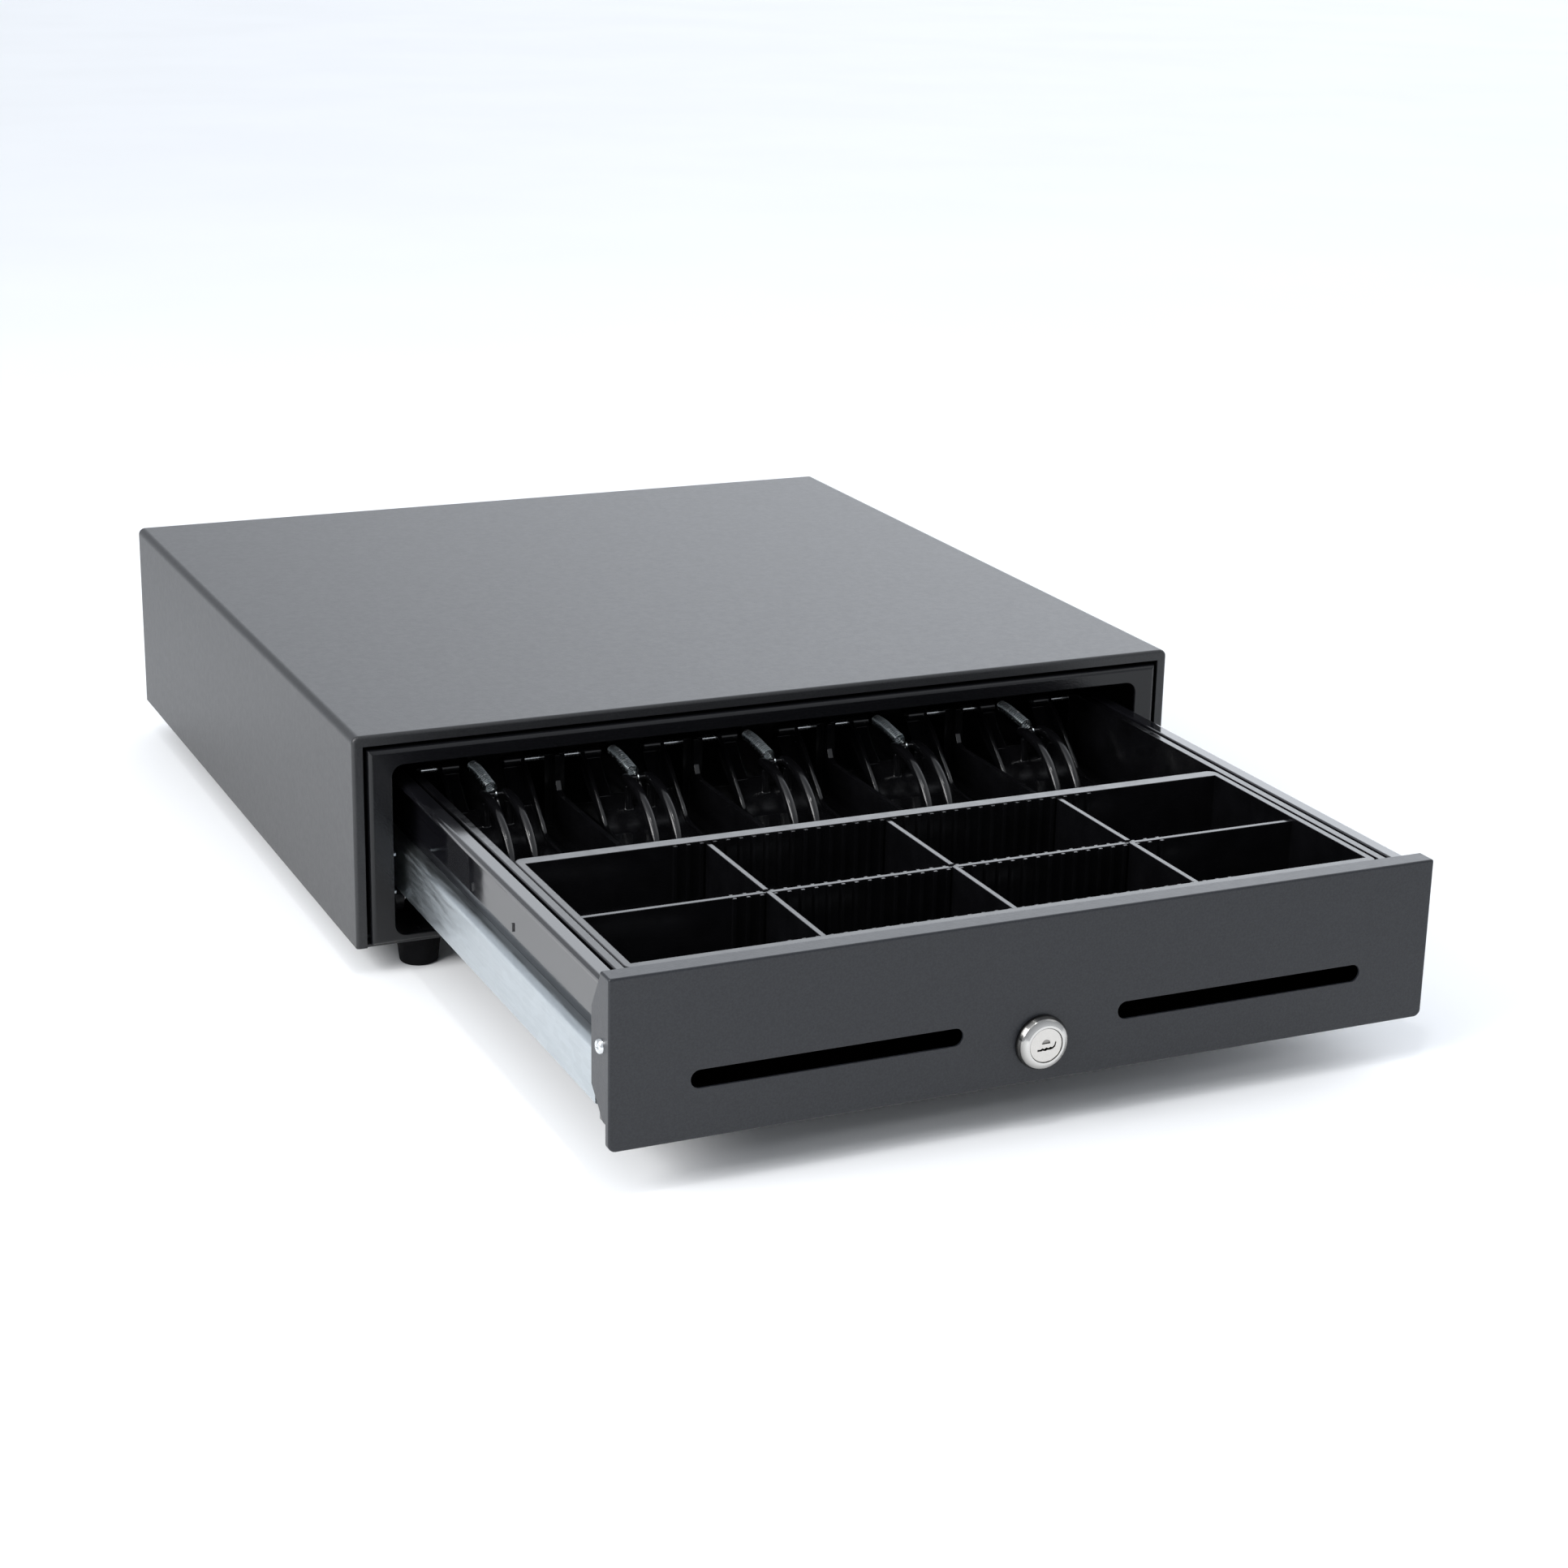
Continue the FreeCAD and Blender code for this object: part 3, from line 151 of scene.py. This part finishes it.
def powder_coat(name, light, dark, roughness, specular=0.5):
    """Satin black powder coat with a fine raised grain."""
    finish = Finish(name, light, roughness, specular=specular)
    finish.tint(finish.noise(0.7 * MM, 3), dark, light)
    finish.rough(finish.noise(3 * MM), roughness - 0.015, roughness + 0.015)
    finish.soften(0.4 * MM)
    return finish.bump(finish.noise(0.9 * MM, 3), 0.055 * MM)


def gloss_paint(name, color):
    """Smooth stoved paint: nearly a mirror, with long low waves and faint rub marks."""
    finish = Finish(name, color, 0.07, specular=0.9)
    finish.tint(finish.noise(30 * MM), color, tuple(c * 1.4 for c in color))
    finish.rough(finish.noise(9 * MM, 4, (1, 0.15, 1)), 0.05, 0.13)
    finish.soften(0.4 * MM)
    return finish.bump(finish.noise(7 * MM, 1), 0.008 * MM)


def gloss_plastic(name, color, roughness):
    """Injection-moulded black plastic with a polished face and faint flow marks."""
    finish = Finish(name, color, roughness)
    finish.tint(finish.noise(14 * MM), color, tuple(c * 1.5 for c in color))
    finish.rough(finish.noise(5 * MM, 4), roughness - 0.04, roughness + 0.08)
    finish.soften(0.5 * MM)
    return finish.bump(finish.noise(1.2 * MM, 2), 0.003 * MM)


def zinc(name, color, roughness, grain):
    """Zinc-plated sheet: low spangle, a rolled grain along its length and broad shallow waves."""
    finish = Finish(name, color, roughness, metallic=1.0)
    finish.tint(finish.cells(3.5 * MM, (1, 0.45, 1)), tuple(c * 0.93 for c in color), color, 0.1, 0.9)
    finish.rough(finish.noise(1.1 * MM, 3, grain), roughness - 0.07, roughness + 0.07)
    finish.soften(0.4 * MM)
    finish.bump(finish.noise(0.7 * MM, 3, grain), 0.006 * MM)
    return finish.bump(finish.noise(18 * MM, 1), 0.05 * MM)


def bright_metal(name, color, roughness):
    """Plated wire and screws: bright, slightly clouded."""
    finish = Finish(name, color, roughness, metallic=1.0)
    finish.tint(finish.noise(1.5 * MM, 3), tuple(c * 0.8 for c in color), color)
    finish.rough(finish.noise(0.8 * MM, 2), roughness - 0.06, roughness + 0.08)
    return finish.bump(finish.noise(0.4 * MM, 2), 0.004 * MM)


def turned_nickel(node, color, roughness, rim, sunk):
    """Plated lock face: turning rings round its own Y axis, with painted shade that darkens it at its rim and
    down in its cuts.
    """
    finish = Finish(f"{node}_nickel", color, roughness, metallic=1.0)
    low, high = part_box(node)
    centre = (low + high) / 2
    radius = finish.node("VectorMath", Vector=finish.place((1, 0, 1), centre))
    radius.operation = "LENGTH"
    depth = finish.node("SeparateXYZ", Vector=finish.place((1, 1, 1), low))
    shade = finish.node("Math")
    shade.operation = "MAXIMUM"
    finish.tree.links.new(finish.spread(radius.outputs["Value"], 0, 1, *rim), shade.inputs[0])
    finish.tree.links.new(finish.spread(depth.outputs["Y"], 0, 1, *sunk), shade.inputs[1])
    # Painted shade: the base colour falls to 6% towards the rim radii and the sunk depths.
    finish.tint(shade.outputs[0], color, tuple(c * 0.06 for c in color), 0, 1)
    finish.rough(finish.noise(1.2 * MM, 2), roughness - 0.03, roughness + 0.04)
    rings = finish.node("TexWave", Vector=finish.place((1, 1, 1), centre), Scale=500.0, Distortion=0.6)
    rings.wave_type = "RINGS"
    rings.rings_direction = "Y"
    return finish.bump(rings.outputs["Fac"], 0.002 * MM)


def matt_polymer(name, color, roughness, grain=0.6 * MM, depth=0.02 * MM, specular=0.3):
    """Rubber, nylon and matt plastic with a spark-eroded skin."""
    finish = Finish(name, color, roughness, specular=specular)
    finish.tint(finish.noise(4 * MM), tuple(c * 0.85 for c in color), color)
    finish.rough(finish.noise(2 * MM), roughness - 0.08, roughness + 0.06)
    return finish.bump(finish.noise(grain, 3), depth)


FINISHES = {
    "powder_coat": powder_coat("powder_coat", (0.013, 0.0135, 0.015), (0.007, 0.0073, 0.0085), 0.4),
    "gloss_paint": gloss_paint("gloss_paint", (0.004, 0.004, 0.005)),
    "gloss_plastic": gloss_plastic("gloss_plastic", (0.0022, 0.0022, 0.0026), 0.15),
    "black_plastic": matt_polymer("black_plastic", (0.012, 0.012, 0.013), 0.5),
    "rubber": matt_polymer("rubber", (0.0025, 0.0025, 0.003), 0.75, 0.9 * MM, 0.04 * MM, 0.08),
    "galvanised": zinc("galvanised", (0.47, 0.51, 0.535), 0.36, (1, 0.06, 1)),
    "zinc_screw": bright_metal("zinc_screw", (0.72, 0.74, 0.75), 0.22),
    "spring_steel": bright_metal("spring_steel", (0.62, 0.67, 0.69), 0.2),
    "black_screw": matt_polymer("black_screw", (0.03, 0.03, 0.032), 0.35),
    "satin_nickel": bright_metal("satin_nickel", (0.72, 0.71, 0.68), 0.3),
    "nylon": matt_polymer("nylon", (0.008, 0.008, 0.009), 0.4),
    "coil_wrap": matt_polymer("coil_wrap", (0.42, 0.12, 0.035), 0.38),
}
FRONT_PLATE = powder_coat("front_plate_coat", (0.013, 0.0145, 0.018), (0.007, 0.008, 0.011), 0.36, 0.42)
FRAME_COAT = powder_coat("frame_coat", (0.006, 0.0062, 0.0072), (0.003, 0.0032, 0.004), 0.2, 0.35)


def paint(obj, finish):
    obj.data.materials.clear()
    obj.data.materials.append(finish.material)


for part in frame["record"]["subparts"]:
    paint(frame["nodes"][part["node"]], FINISHES[part["material_slot"]])
paint(frame["nodes"]["drawer_front"], FRONT_PLATE)
paint(frame["nodes"]["front_frame"], FRAME_COAT)
# Painted shade on the lock: the bezel darkens at its outer rim and near the plate, and the plug at its edge
# as a dark ring.
HOUSING_NICKEL = turned_nickel("lock_housing", (0.58, 0.57, 0.55), 0.15, (8.6 * MM, 12.2 * MM),
                               (1.5 * MM, 5 * MM))
PLUG_NICKEL = turned_nickel("lock_plug", (0.6, 0.58, 0.55), 0.3, (6.9 * MM, 7.25 * MM), (0.1 * MM, 0.9 * MM))
paint(frame["nodes"]["lock_housing"], HOUSING_NICKEL)
paint(frame["nodes"]["lock_plug"], PLUG_NICKEL)


# ---------------------------------------------------------------- mesh helpers

def mesh_object(name, vertices, faces, smooth=True):
    mesh = bpy.data.meshes.new(name)
    mesh.from_pydata([tuple(v) for v in vertices], [], faces)
    mesh.validate()
    work = bmesh.new()
    work.from_mesh(mesh)
    bmesh.ops.recalc_face_normals(work, faces=work.faces)
    work.to_mesh(mesh)
    work.free()
    if smooth:
        mesh.shade_smooth()
    obj = bpy.data.objects.new(name, mesh)
    bpy.context.scene.collection.objects.link(obj)
    return obj


def tube(points, radius, sides=10):
    """Vertices and faces of a round wire along points, with rounded-off ends."""
    vertices, faces = [], []
    tangents = [(points[min(i + 1, len(points) - 1)] - points[max(i - 1, 0)]).normalized()
                for i in range(len(points))]
    across = tangents[0].orthogonal().normalized()
    rings = [(points[0] - tangents[0] * radius * 0.6, tangents[0], radius * 0.5)]
    rings += [(p, t, radius) for p, t in zip(points, tangents)]
    rings.append((points[-1] + tangents[-1] * radius * 0.6, tangents[-1], radius * 0.5))
    for centre, tangent, size in rings:
        across = (across - tangent * across.dot(tangent)).normalized()
        other = tangent.cross(across)
        for step in range(sides):
            angle = 2 * math.pi * step / sides
            vertices.append(centre + (across * math.cos(angle) + other * math.sin(angle)) * size)
    for ring in range(len(rings) - 1):
        for step in range(sides):
            nxt = (step + 1) % sides
            low, high = ring * sides, (ring + 1) * sides
            faces.append((low + step, low + nxt, high + nxt, high + step))
    faces.append(tuple(reversed(range(sides))))
    faces.append(tuple((len(rings) - 1) * sides + step for step in range(sides)))
    return vertices, faces


def bezier(points, count):
    """Evenly numbered points on a smooth curve through or near control points (Catmull-Rom)."""
    ends = [points[0] * 2 - points[1]] + list(points) + [points[-1] * 2 - points[-2]]
    line = []
    for a, b, c, d in zip(ends, ends[1:], ends[2:], ends[3:]):
        for step in range(count):
            t = step / count
            line.append(0.5 * (2 * b + (c - a) * t + (2 * a - 5 * b + 4 * c - d) * t * t
                               + (3 * b - a - 3 * c + d) * t ** 3))
    line.append(points[-1].copy())
    return line


def helix(line, radius, turns, per_turn=16, start=0.0):
    """A coil of the given radius wound round a centre line."""
    total = int(turns * per_turn)
    lengths = [0.0]
    for a, b in zip(line, line[1:]):
        lengths.append(lengths[-1] + (b - a).length)
    side = (line[1] - line[0]).normalized().orthogonal().normalized()
    points = []
    index = 0
    for step in range(total + 1):
        reach = lengths[-1] * step / total
        while index < len(line) - 2 and lengths[index + 1] < reach:
            index += 1
        share = (reach - lengths[index]) / (lengths[index + 1] - lengths[index])
        centre = line[index].lerp(line[index + 1], min(share, 1))
        tangent = (line[index + 1] - line[index]).normalized()
        side = (side - tangent * side.dot(tangent)).normalized()
        other = tangent.cross(side)
        angle = start + 2 * math.pi * turns * step / total
        points.append(centre + (side * math.cos(angle) + other * math.sin(angle)) * radius)
    return points


# ---------------------------------------------------------------- wire springs

def fit(obj, slot, *nodes):
    """Give a finished piece its slot's look and let it stand in for CAD nodes."""
    paint(obj, FINISHES[slot])
    if nodes:
        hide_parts(*nodes)
    return obj


def loop(centre, radius, first, last, step=20):
    """Points round part of a circle in the upright plane along the drawer."""
    return [centre + Vector((0, math.cos(math.radians(d)), math.sin(math.radians(d)))) * radius
            for d in range(first, last, step)]


def clip_spring(n):
    """Extension spring from the till's lug to the clip's bar, slightly arched, with a ring at each end."""
    low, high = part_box(f"clip_spring_{n}")
    x = (low.x + high.x) / 2
    z = (low.z + high.z) / 2
    bar = Vector((x, low.y - 1.8 * MM, z - 2.3 * MM))
    lug = Vector((x, high.y + 3.0 * MM, z + 1.5 * MM))
    wire, mean, turns = 0.42 * MM, 2.5 * MM, 17.25
    line = bezier([Vector((x, lug.y - 5.4 * MM, z + 1.1 * MM)), Vector((x, lug.y - 15 * MM, z + 0.9 * MM)),
                   Vector((x, bar.y + 5.6 * MM, z - 1.3 * MM))], 12)
    body = helix(line, mean, turns, start=math.pi / 2)
    rear = loop(lug, 1.7 * MM, -60, 230)
    front = loop(bar, 1.75 * MM, 30, 331)
    rise = bezier([rear[-1], rear[-1].lerp(body[0], 0.5) + Vector((0, 0, 0.2 * MM)), body[0]], 4)
    fall = bezier([body[-1], body[-1].lerp(front[0], 0.5), front[0]], 4)
    points = rear[:-1] + rise[:-1] + body + fall[1:-1] + front
    spring = mesh_object(f"spring_{n}", *tube(points, wire, 8))
    fit(spring, "spring_steel", f"clip_spring_{n}")
    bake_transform(spring)


def ejector_spring():
    """Compression spring in its cup, closed at both ends, made at one length and carried by the case."""
    low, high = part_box("ejector_spring")
    middle = (low + high) / 2
    wire = 0.5 * MM
    radius = (high.x - low.x) / 2 - wire
    first, last = low.y + wire, high.y - wire
    points = []
    turns, per_turn, dead = 15, 18, 1.5
    for step in range(turns * per_turn + 1):
        turn = step / per_turn
        share = min(max((turn - dead) / (turns - 2 * dead), 0), 1)
        flat = 2 * wire * (min(turn, dead) + max(turn - turns + dead, 0))
        y = first + flat + share * (last - first - 4 * wire * dead)
        angle = 2 * math.pi * turn
        points.append(Vector((middle.x + radius * math.cos(angle), y, middle.z + radius * math.sin(angle))))
    spring = fit(mesh_object("ejector_coil", *tube(points, wire, 8)), "spring_steel", "ejector_spring")
    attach(spring, "case")
    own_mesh(spring)


def lever_spring():
    """Extension spring from the post on the deck to the eye in the lever's tail."""
    low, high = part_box("lever_spring")
    y, z = (low.y + high.y) / 2, (low.z + high.z) / 2
    post_low, post_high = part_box("spring_post")
    post = Vector(((post_low.x + post_high.x) / 2, y, z))
    _, lever_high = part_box("latch_lever")
    eye = Vector((high.x + 7 * MM, y, lever_high.z + 0.2 * MM))
    wire = 0.35 * MM
    line = [Vector((low.x + 1.5 * MM, y, z)), Vector((high.x - 1.5 * MM, y, z))]
    body = helix(line, (high.z - low.z) / 2 - wire, 22, start=math.pi / 2)
    grip = (post_high.x - post_low.x) / 2 + wire
    hook = [post + Vector((math.cos(math.radians(d)), math.sin(math.radians(d)), 0)) * grip
            for d in range(-40, 221, 20)]
    reach = eye + Vector((0, 0, 1.2 * MM))
    drop = eye - Vector((0, 0, 1.6 * MM))
    points = bezier([*hook, body[0]], 2)[:-1] + body
    points += bezier([body[-1], body[-1].lerp(reach, 0.5), reach, drop], 5)[1:]
    spring = fit(mesh_object("lever_coil", *tube(points, wire, 8)), "spring_steel", "lever_spring")
    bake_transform(spring)


# ---------------------------------------------------------------- note clips

def lofted(stations, corners=4, power=0.35):
    """A closed form through stations (y, z, half width, half thickness) about x = 0, with rounded sides.

    Each section stands square to the path of the stations."""
    count = corners * 4
    places = [Vector((0, y, z)) for y, z, *_ in stations]
    vertices, faces = [], []
    for index, (_, _, wide, thick) in enumerate(stations):
        along = (places[min(index + 1, len(places) - 1)] - places[max(index - 1, 0)]).normalized()
        normal = Vector((0, -along.z, along.y))
        for step in range(count):
            angle = 2 * math.pi * (step + 0.5) / count
            across, lift = math.cos(angle), math.sin(angle)
            across = math.copysign(abs(across) ** power, across)
            lift = math.copysign(abs(lift) ** power, lift)
            vertices.append(places[index] + Vector((across * wide, 0, 0)) + normal * lift * thick)
    for ring in range(len(stations) - 1):
        for step in range(count):
            nxt = (step + 1) % count
            low, high = ring * count, (ring + 1) * count
            faces.append((low + step, low + nxt, high + nxt, high + step))
    faces.append(tuple(reversed(range(count))))
    faces.append(tuple((len(stations) - 1) * count + step for step in range(count)))
    return vertices, faces


def smooth_stations(stations, count=5):
    """More stations on a smooth curve through the given ones."""
    ends = [stations[0]] + list(stations) + [stations[-1]]
    line = []
    for a, b, c, d in zip(ends, ends[1:], ends[2:], ends[3:]):
        for step in range(count):
            t = step / count
            line.append(tuple(0.5 * (2 * q + (r - p) * t + (2 * p - 5 * q + 4 * r - s) * t * t
                                     + (3 * q - p - 3 * r + s) * t ** 3) for p, q, r, s in zip(a, b, c, d)))
    line.append(tuple(stations[-1]))
    return line


def sleeve(first, last, inner, outer, ease, sides=32):
    """A hub along X between two places, bored through, its outer edges eased."""
    corner = ease * 0.3
    profile = [(first, inner), (first, outer - ease), (first + corner, outer - corner), (first + ease, outer),
               (last - ease, outer), (last - corner, outer - corner), (last, outer - ease), (last, inner)]
    vertices, faces = [], []
    for x, radius in profile:
        for step in range(sides):
            angle = 2 * math.pi * step / sides
            vertices.append(Vector((x, radius * math.cos(angle), radius * math.sin(angle))))
    for ring in range(len(profile)):
        low, high = ring * sides, (ring + 1) % len(profile) * sides
        for step in range(sides):
            nxt = (step + 1) % sides
            faces.append((low + step, low + nxt, high + nxt, high + step))
    return vertices, faces


# Millimetres from the clip's axle: y, z, half width, half thickness.
CLIP_SHEET = [(-16.4, -16.3, 20.7, 0.9), (-19, -18.1, 20.7, 1.0), (-30, -25.3, 20.7, 1.0),
              (-35.6, -28.8, 20.7, 1.0), (-39, -29.4, 20.6, 1.0), (-52, -29.45, 20.5, 1.0),
              (-62, -29.4, 20.2, 1.0), (-64.6, -28.5, 19.6, 0.9), (-65.6, -27.7, 18.8, 0.6)]
CLIP_ARM = [(-1.2, -2.6, 5.0, 0.8), (-6.5, -9.6, 5.1, 1.1), (-12, -13.7, 5.1, 1.05), (-17.4, -17.1, 5.1, 1.0)]
CLIP_RIM = [(-0.8, 1.2, 1.0, 1.0), (-4, -2.2, 1.1, 2.1), (-10.6, -7.2, 1.15, 2.6),
            (-18.6, -14.6, 1.15, 2.6), (-27, -21.9, 1.15, 2.3), (-34.4, -27.2, 1.15, 1.7),
            (-46, -28.3, 1.1, 1.4), (-58, -28.6, 1.0, 1.1), (-62.5, -29, 0.7, 0.6)]
CLIP_FINGER = [(-19.4, -7.8, 1.9, 1.7), (-22, -7.6, 2.1, 2.1), (-28, -7.7, 2.2, 2.2),
               (-35.5, -8.7, 2.2, 2.2), (-43.2, -11.8, 2.2, 2.2), (-50.6, -17, 2.15, 2.15),
               (-56.4, -23.4, 2.0, 2.0), (-59.6, -28.6, 1.7, 1.7)]
CLIP_STEM = [(-24.4, -10.2, 2.0, 1.4), (-24.4, -16, 1.9, 1.4), (-24.4, -21.5, 2.1, 1.45)]
CLIP_BARB = [(-22.4, -8.2, 0.9, 0.8), (-24.6, -9.6, 0.85, 0.75), (-27, -12.4, 0.7, 0.65),
             (-28.2, -15.4, 0.45, 0.45)]
# Millimetres to each side of the clip's middle, and sizes about its axle.
ARM_X, RIM_X, FINGER_X = 15.6, 19.6, 5.4
HUB_R, HUB_BORE_R, HUB_EASE = 3.2, 1.56, 0.5
HUB_SPAN = (10.6, 20.75)
BAR_AT, BAR_R, BAR_STATIONS = (-21.4, -7.6), 1.22, (-4.6, -2, 0, 2, 4.6)


def bill_clip(n):
    """Moulded hold-down: bored hubs, sloping plate between raised rims, and two arched fingers over it."""
    low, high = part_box(f"bill_clip_{n}")
    axle = Vector(((low.x + high.x) / 2, high.y - HUB_R * MM, high.z - HUB_R * MM))
    vertices, faces = [], []

    def add(piece, x=0.0):
        start = len(vertices)
        vertices.extend(axle + (Vector((x, 0, 0)) + point) * MM for point in piece[0])
        faces.extend(tuple(index + start for index in face) for face in piece[1])

    add(lofted(smooth_stations(CLIP_SHEET, 3), 6, 0.3))
    for sign in (-1, 1):
        add(lofted(smooth_stations(CLIP_ARM, 3)), sign * ARM_X)
        add(lofted(smooth_stations(CLIP_RIM), power=0.4), sign * RIM_X)
        add(lofted(smooth_stations(CLIP_FINGER), power=0.75), sign * FINGER_X)
        add(lofted(CLIP_STEM, power=0.6), sign * FINGER_X)
        add(sleeve(*sorted(sign * x for x in HUB_SPAN), HUB_BORE_R, HUB_R - 0.02, HUB_EASE))
    add(tube([Vector((x, *BAR_AT)) for x in BAR_STATIONS], BAR_R, 14))
    add(lofted(smooth_stations(CLIP_BARB), power=0.8))
    clip = fit(mesh_object(f"clip_{n}_moulding", vertices, faces), "gloss_plastic", f"bill_clip_{n}")
    crease(clip, 38)
    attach(clip, f"clip_{n}")


def crease(obj, degrees):
    """Keep edges sharper than an angle crisp under smooth shading."""
    work = bmesh.new()
    work.from_mesh(obj.data)
    for edge in work.edges:
        edge.smooth = edge.calc_face_angle(0) < math.radians(degrees)
    work.to_mesh(obj.data)
    work.free()


# ---------------------------------------------------------------- screws

def solids_of(obj):
    """The corners of the box round each separate solid of a CAD node, in the shared frame."""
    work = bmesh.new()
    work.from_mesh(obj.data)
    work.transform(obj.matrix_world)
    bmesh.ops.remove_doubles(work, verts=work.verts, dist=1e-6)
    left, boxes = set(work.verts), []
    while left:
        reached = [left.pop()]
        for vertex in reached:
            for edge in vertex.link_edges:
                other = edge.other_vert(vertex)
                if other in left:
                    left.remove(other)
                    reached.append(other)
        boxes.append([Vector([pick(v.co[axis] for v in reached) for axis in range(3)])
                      for pick in (min, max)])
    work.free()
    return boxes


SHANK_R, SHANK_LONG = 1.45 * MM, 3 * MM
DOME_SHARE = 0.275


def screw_head(radius, depth, shank, rings=16, sides=64):
    """A domed head with a cross recess, standing along Z, over a short shank."""
    arm_reach, arm_half, recess = 0.62, 0.15, 0.75
    points = []
    for ring in range(rings + 1):
        share = max(ring / rings, 0.02)
        for step in range(sides):
            angle = 2 * math.pi * step / sides
            x, y = share * math.cos(angle), share * math.sin(angle)
            height = depth * (1 - share ** 4) ** 0.5
            reach, aside = max(abs(x), abs(y)), min(abs(x), abs(y))
            if reach < arm_reach:
                cut = min(1.0, 2.5 * max(0.0, 1 - aside / arm_half))
                height -= depth * recess * cut * (1 - reach / arm_reach) ** 0.35
            points.append(Vector((x * radius, y * radius, height)))
    for height in (0.0, -SHANK_LONG):
        for step in range(sides):
            angle = 2 * math.pi * step / sides
            points.append(Vector((shank * math.cos(angle), shank * math.sin(angle), height)))
    faces = [tuple(reversed(range(sides)))]
    for ring in range(rings + 2):
        for step in range(sides):
            nxt = (step + 1) % sides
            low, high = ring * sides, (ring + 1) * sides
            faces.append((low + step, low + nxt, high + nxt, high + step))
    faces.append(tuple((rings + 2) * sides + step for step in range(sides)))
    return points, faces


def screw_heads(node, body, slot, facing):
    """One domed screw head for each solid of a CAD node of screws, facing outward."""
    vertices, faces = [], []
    for low, high in solids_of(frame["nodes"][node]):
        centre = (low + high) / 2
        outward = Vector(facing(centre))
        axis = max(range(3), key=lambda n: abs(outward[n]))
        outer = high[axis] if outward[axis] > 0 else low[axis]
        width = max(high[n] - low[n] for n in range(3) if n != axis)
        depth = DOME_SHARE * width
        centre[axis] = outer - outward[axis] * depth
        turn = Vector((0, 0, 1)).rotation_difference(outward).to_matrix()
        points, quads = screw_head(width / 2, depth, SHANK_R)
        start = len(vertices)
        vertices += [centre + turn @ point for point in points]
        faces += [tuple(index + start for index in quad) for quad in quads]
    made = fit(mesh_object(f"{node}_domed", vertices, faces), slot, node)
    crease(made, 42)
    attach(made, body)


for number in CLIPS:
    bill_clip(number)
    clip_spring(number)
ejector_spring()
lever_spring()
screw_heads("front_screws", "drawer", "zinc_screw", lambda place: (math.copysign(1, place.x), 0, 0))
screw_heads("cover_screws", "case", "black_screw", lambda place: (0, 1, 0))
screw_heads("foot_screws", "case", "zinc_screw", lambda place: (0, 0, -1))


# ---------------------------------------------------------------- studio

# The sky brightens from the first level to the last between two cosines about this heading.
BRIGHT_WALL = (0.65, 0.6, 0.42)
WALL_LEVELS = (0.74, 0.99, 0.78, 2.8)
# Name, place, aim, size in metres, power in watts.
LIGHTS = [
    ("key", (-1.25, -0.5, 0.85), (-0.2, -0.2, 0), (0.9, 0.7), 20),
    ("top", (-0.9, -0.6, 1.8), (0, 0, 0), (1.4, 1.4), 5),
    ("fill", (1.6, -0.6, 1.5), (0, 0, 0), (1.6, 1.2), 3),
    ("spark", (-0.25, -0.75, 1.6), (0, -0.15, 0.05), (0.12, 0.12), 2.5),
]


def studio():
    bpy.ops.mesh.primitive_circle_add(vertices=96, radius=30, fill_type="NGON", location=(0, 0, 0))
    floor = bpy.context.object
    floor.name = "floor"
    surface = Finish("studio_floor", (0.93, 0.935, 0.94), 0.6, specular=0.2)
    surface.tint(surface.noise(0.4), (0.92, 0.925, 0.93), (0.94, 0.945, 0.95))
    paint(floor, surface)
    world = bpy.data.worlds.new("studio")
    bpy.context.scene.world = world
    world.use_nodes = True
    tree = world.node_tree
    background = tree.nodes["Background"]
    background.inputs["Color"].default_value = (0.9, 0.94, 1.0, 1)
    heading = tree.nodes.new("ShaderNodeTexCoord")
    facing = tree.nodes.new("ShaderNodeVectorMath")
    facing.operation = "DOT_PRODUCT"
    facing.inputs[1].default_value = Vector(BRIGHT_WALL).normalized()
    level = tree.nodes.new("ShaderNodeMapRange")
    for socket, value in zip(("From Min", "From Max", "To Min", "To Max"), WALL_LEVELS):
        level.inputs[socket].default_value = value
    tree.links.new(heading.outputs["Generated"], facing.inputs[0])
    tree.links.new(facing.outputs["Value"], level.inputs["Value"])
    tree.links.new(level.outputs[0], background.inputs["Strength"])
    for name, place, aim, size, power in LIGHTS:
        light = bpy.data.lights.new(name, "AREA")
        light.shape = "RECTANGLE"
        light.size, light.size_y = size
        light.energy = power
        lamp = bpy.data.objects.new(name, light)
        bpy.context.scene.collection.objects.link(lamp)
        lamp.location = place
        lamp.rotation_euler = (Vector(aim) - Vector(place)).to_track_quat("-Z", "Y").to_euler()


def camera():
    data = bpy.data.cameras.new("camera")
    data.lens = 69.2
    data.sensor_width = 36
    data.clip_end = 100
    eye = bpy.data.objects.new("camera", data)
    bpy.context.scene.collection.objects.link(eye)
    right = Vector((0.9125, -0.4085, 0.0195))
    up = Vector((0.1109, 0.2930, 0.9496))
    back = right.cross(up).normalized()
    up = back.cross(right).normalized()
    turn = Matrix((right.normalized(), up, back)).transposed()
    eye.matrix_world = Matrix.Translation((-0.5506, -1.2899, 0.5059)) @ turn.to_4x4()
    bpy.context.scene.camera = eye


studio()
camera()
bpy.context.scene.view_settings.view_transform = "Standard"
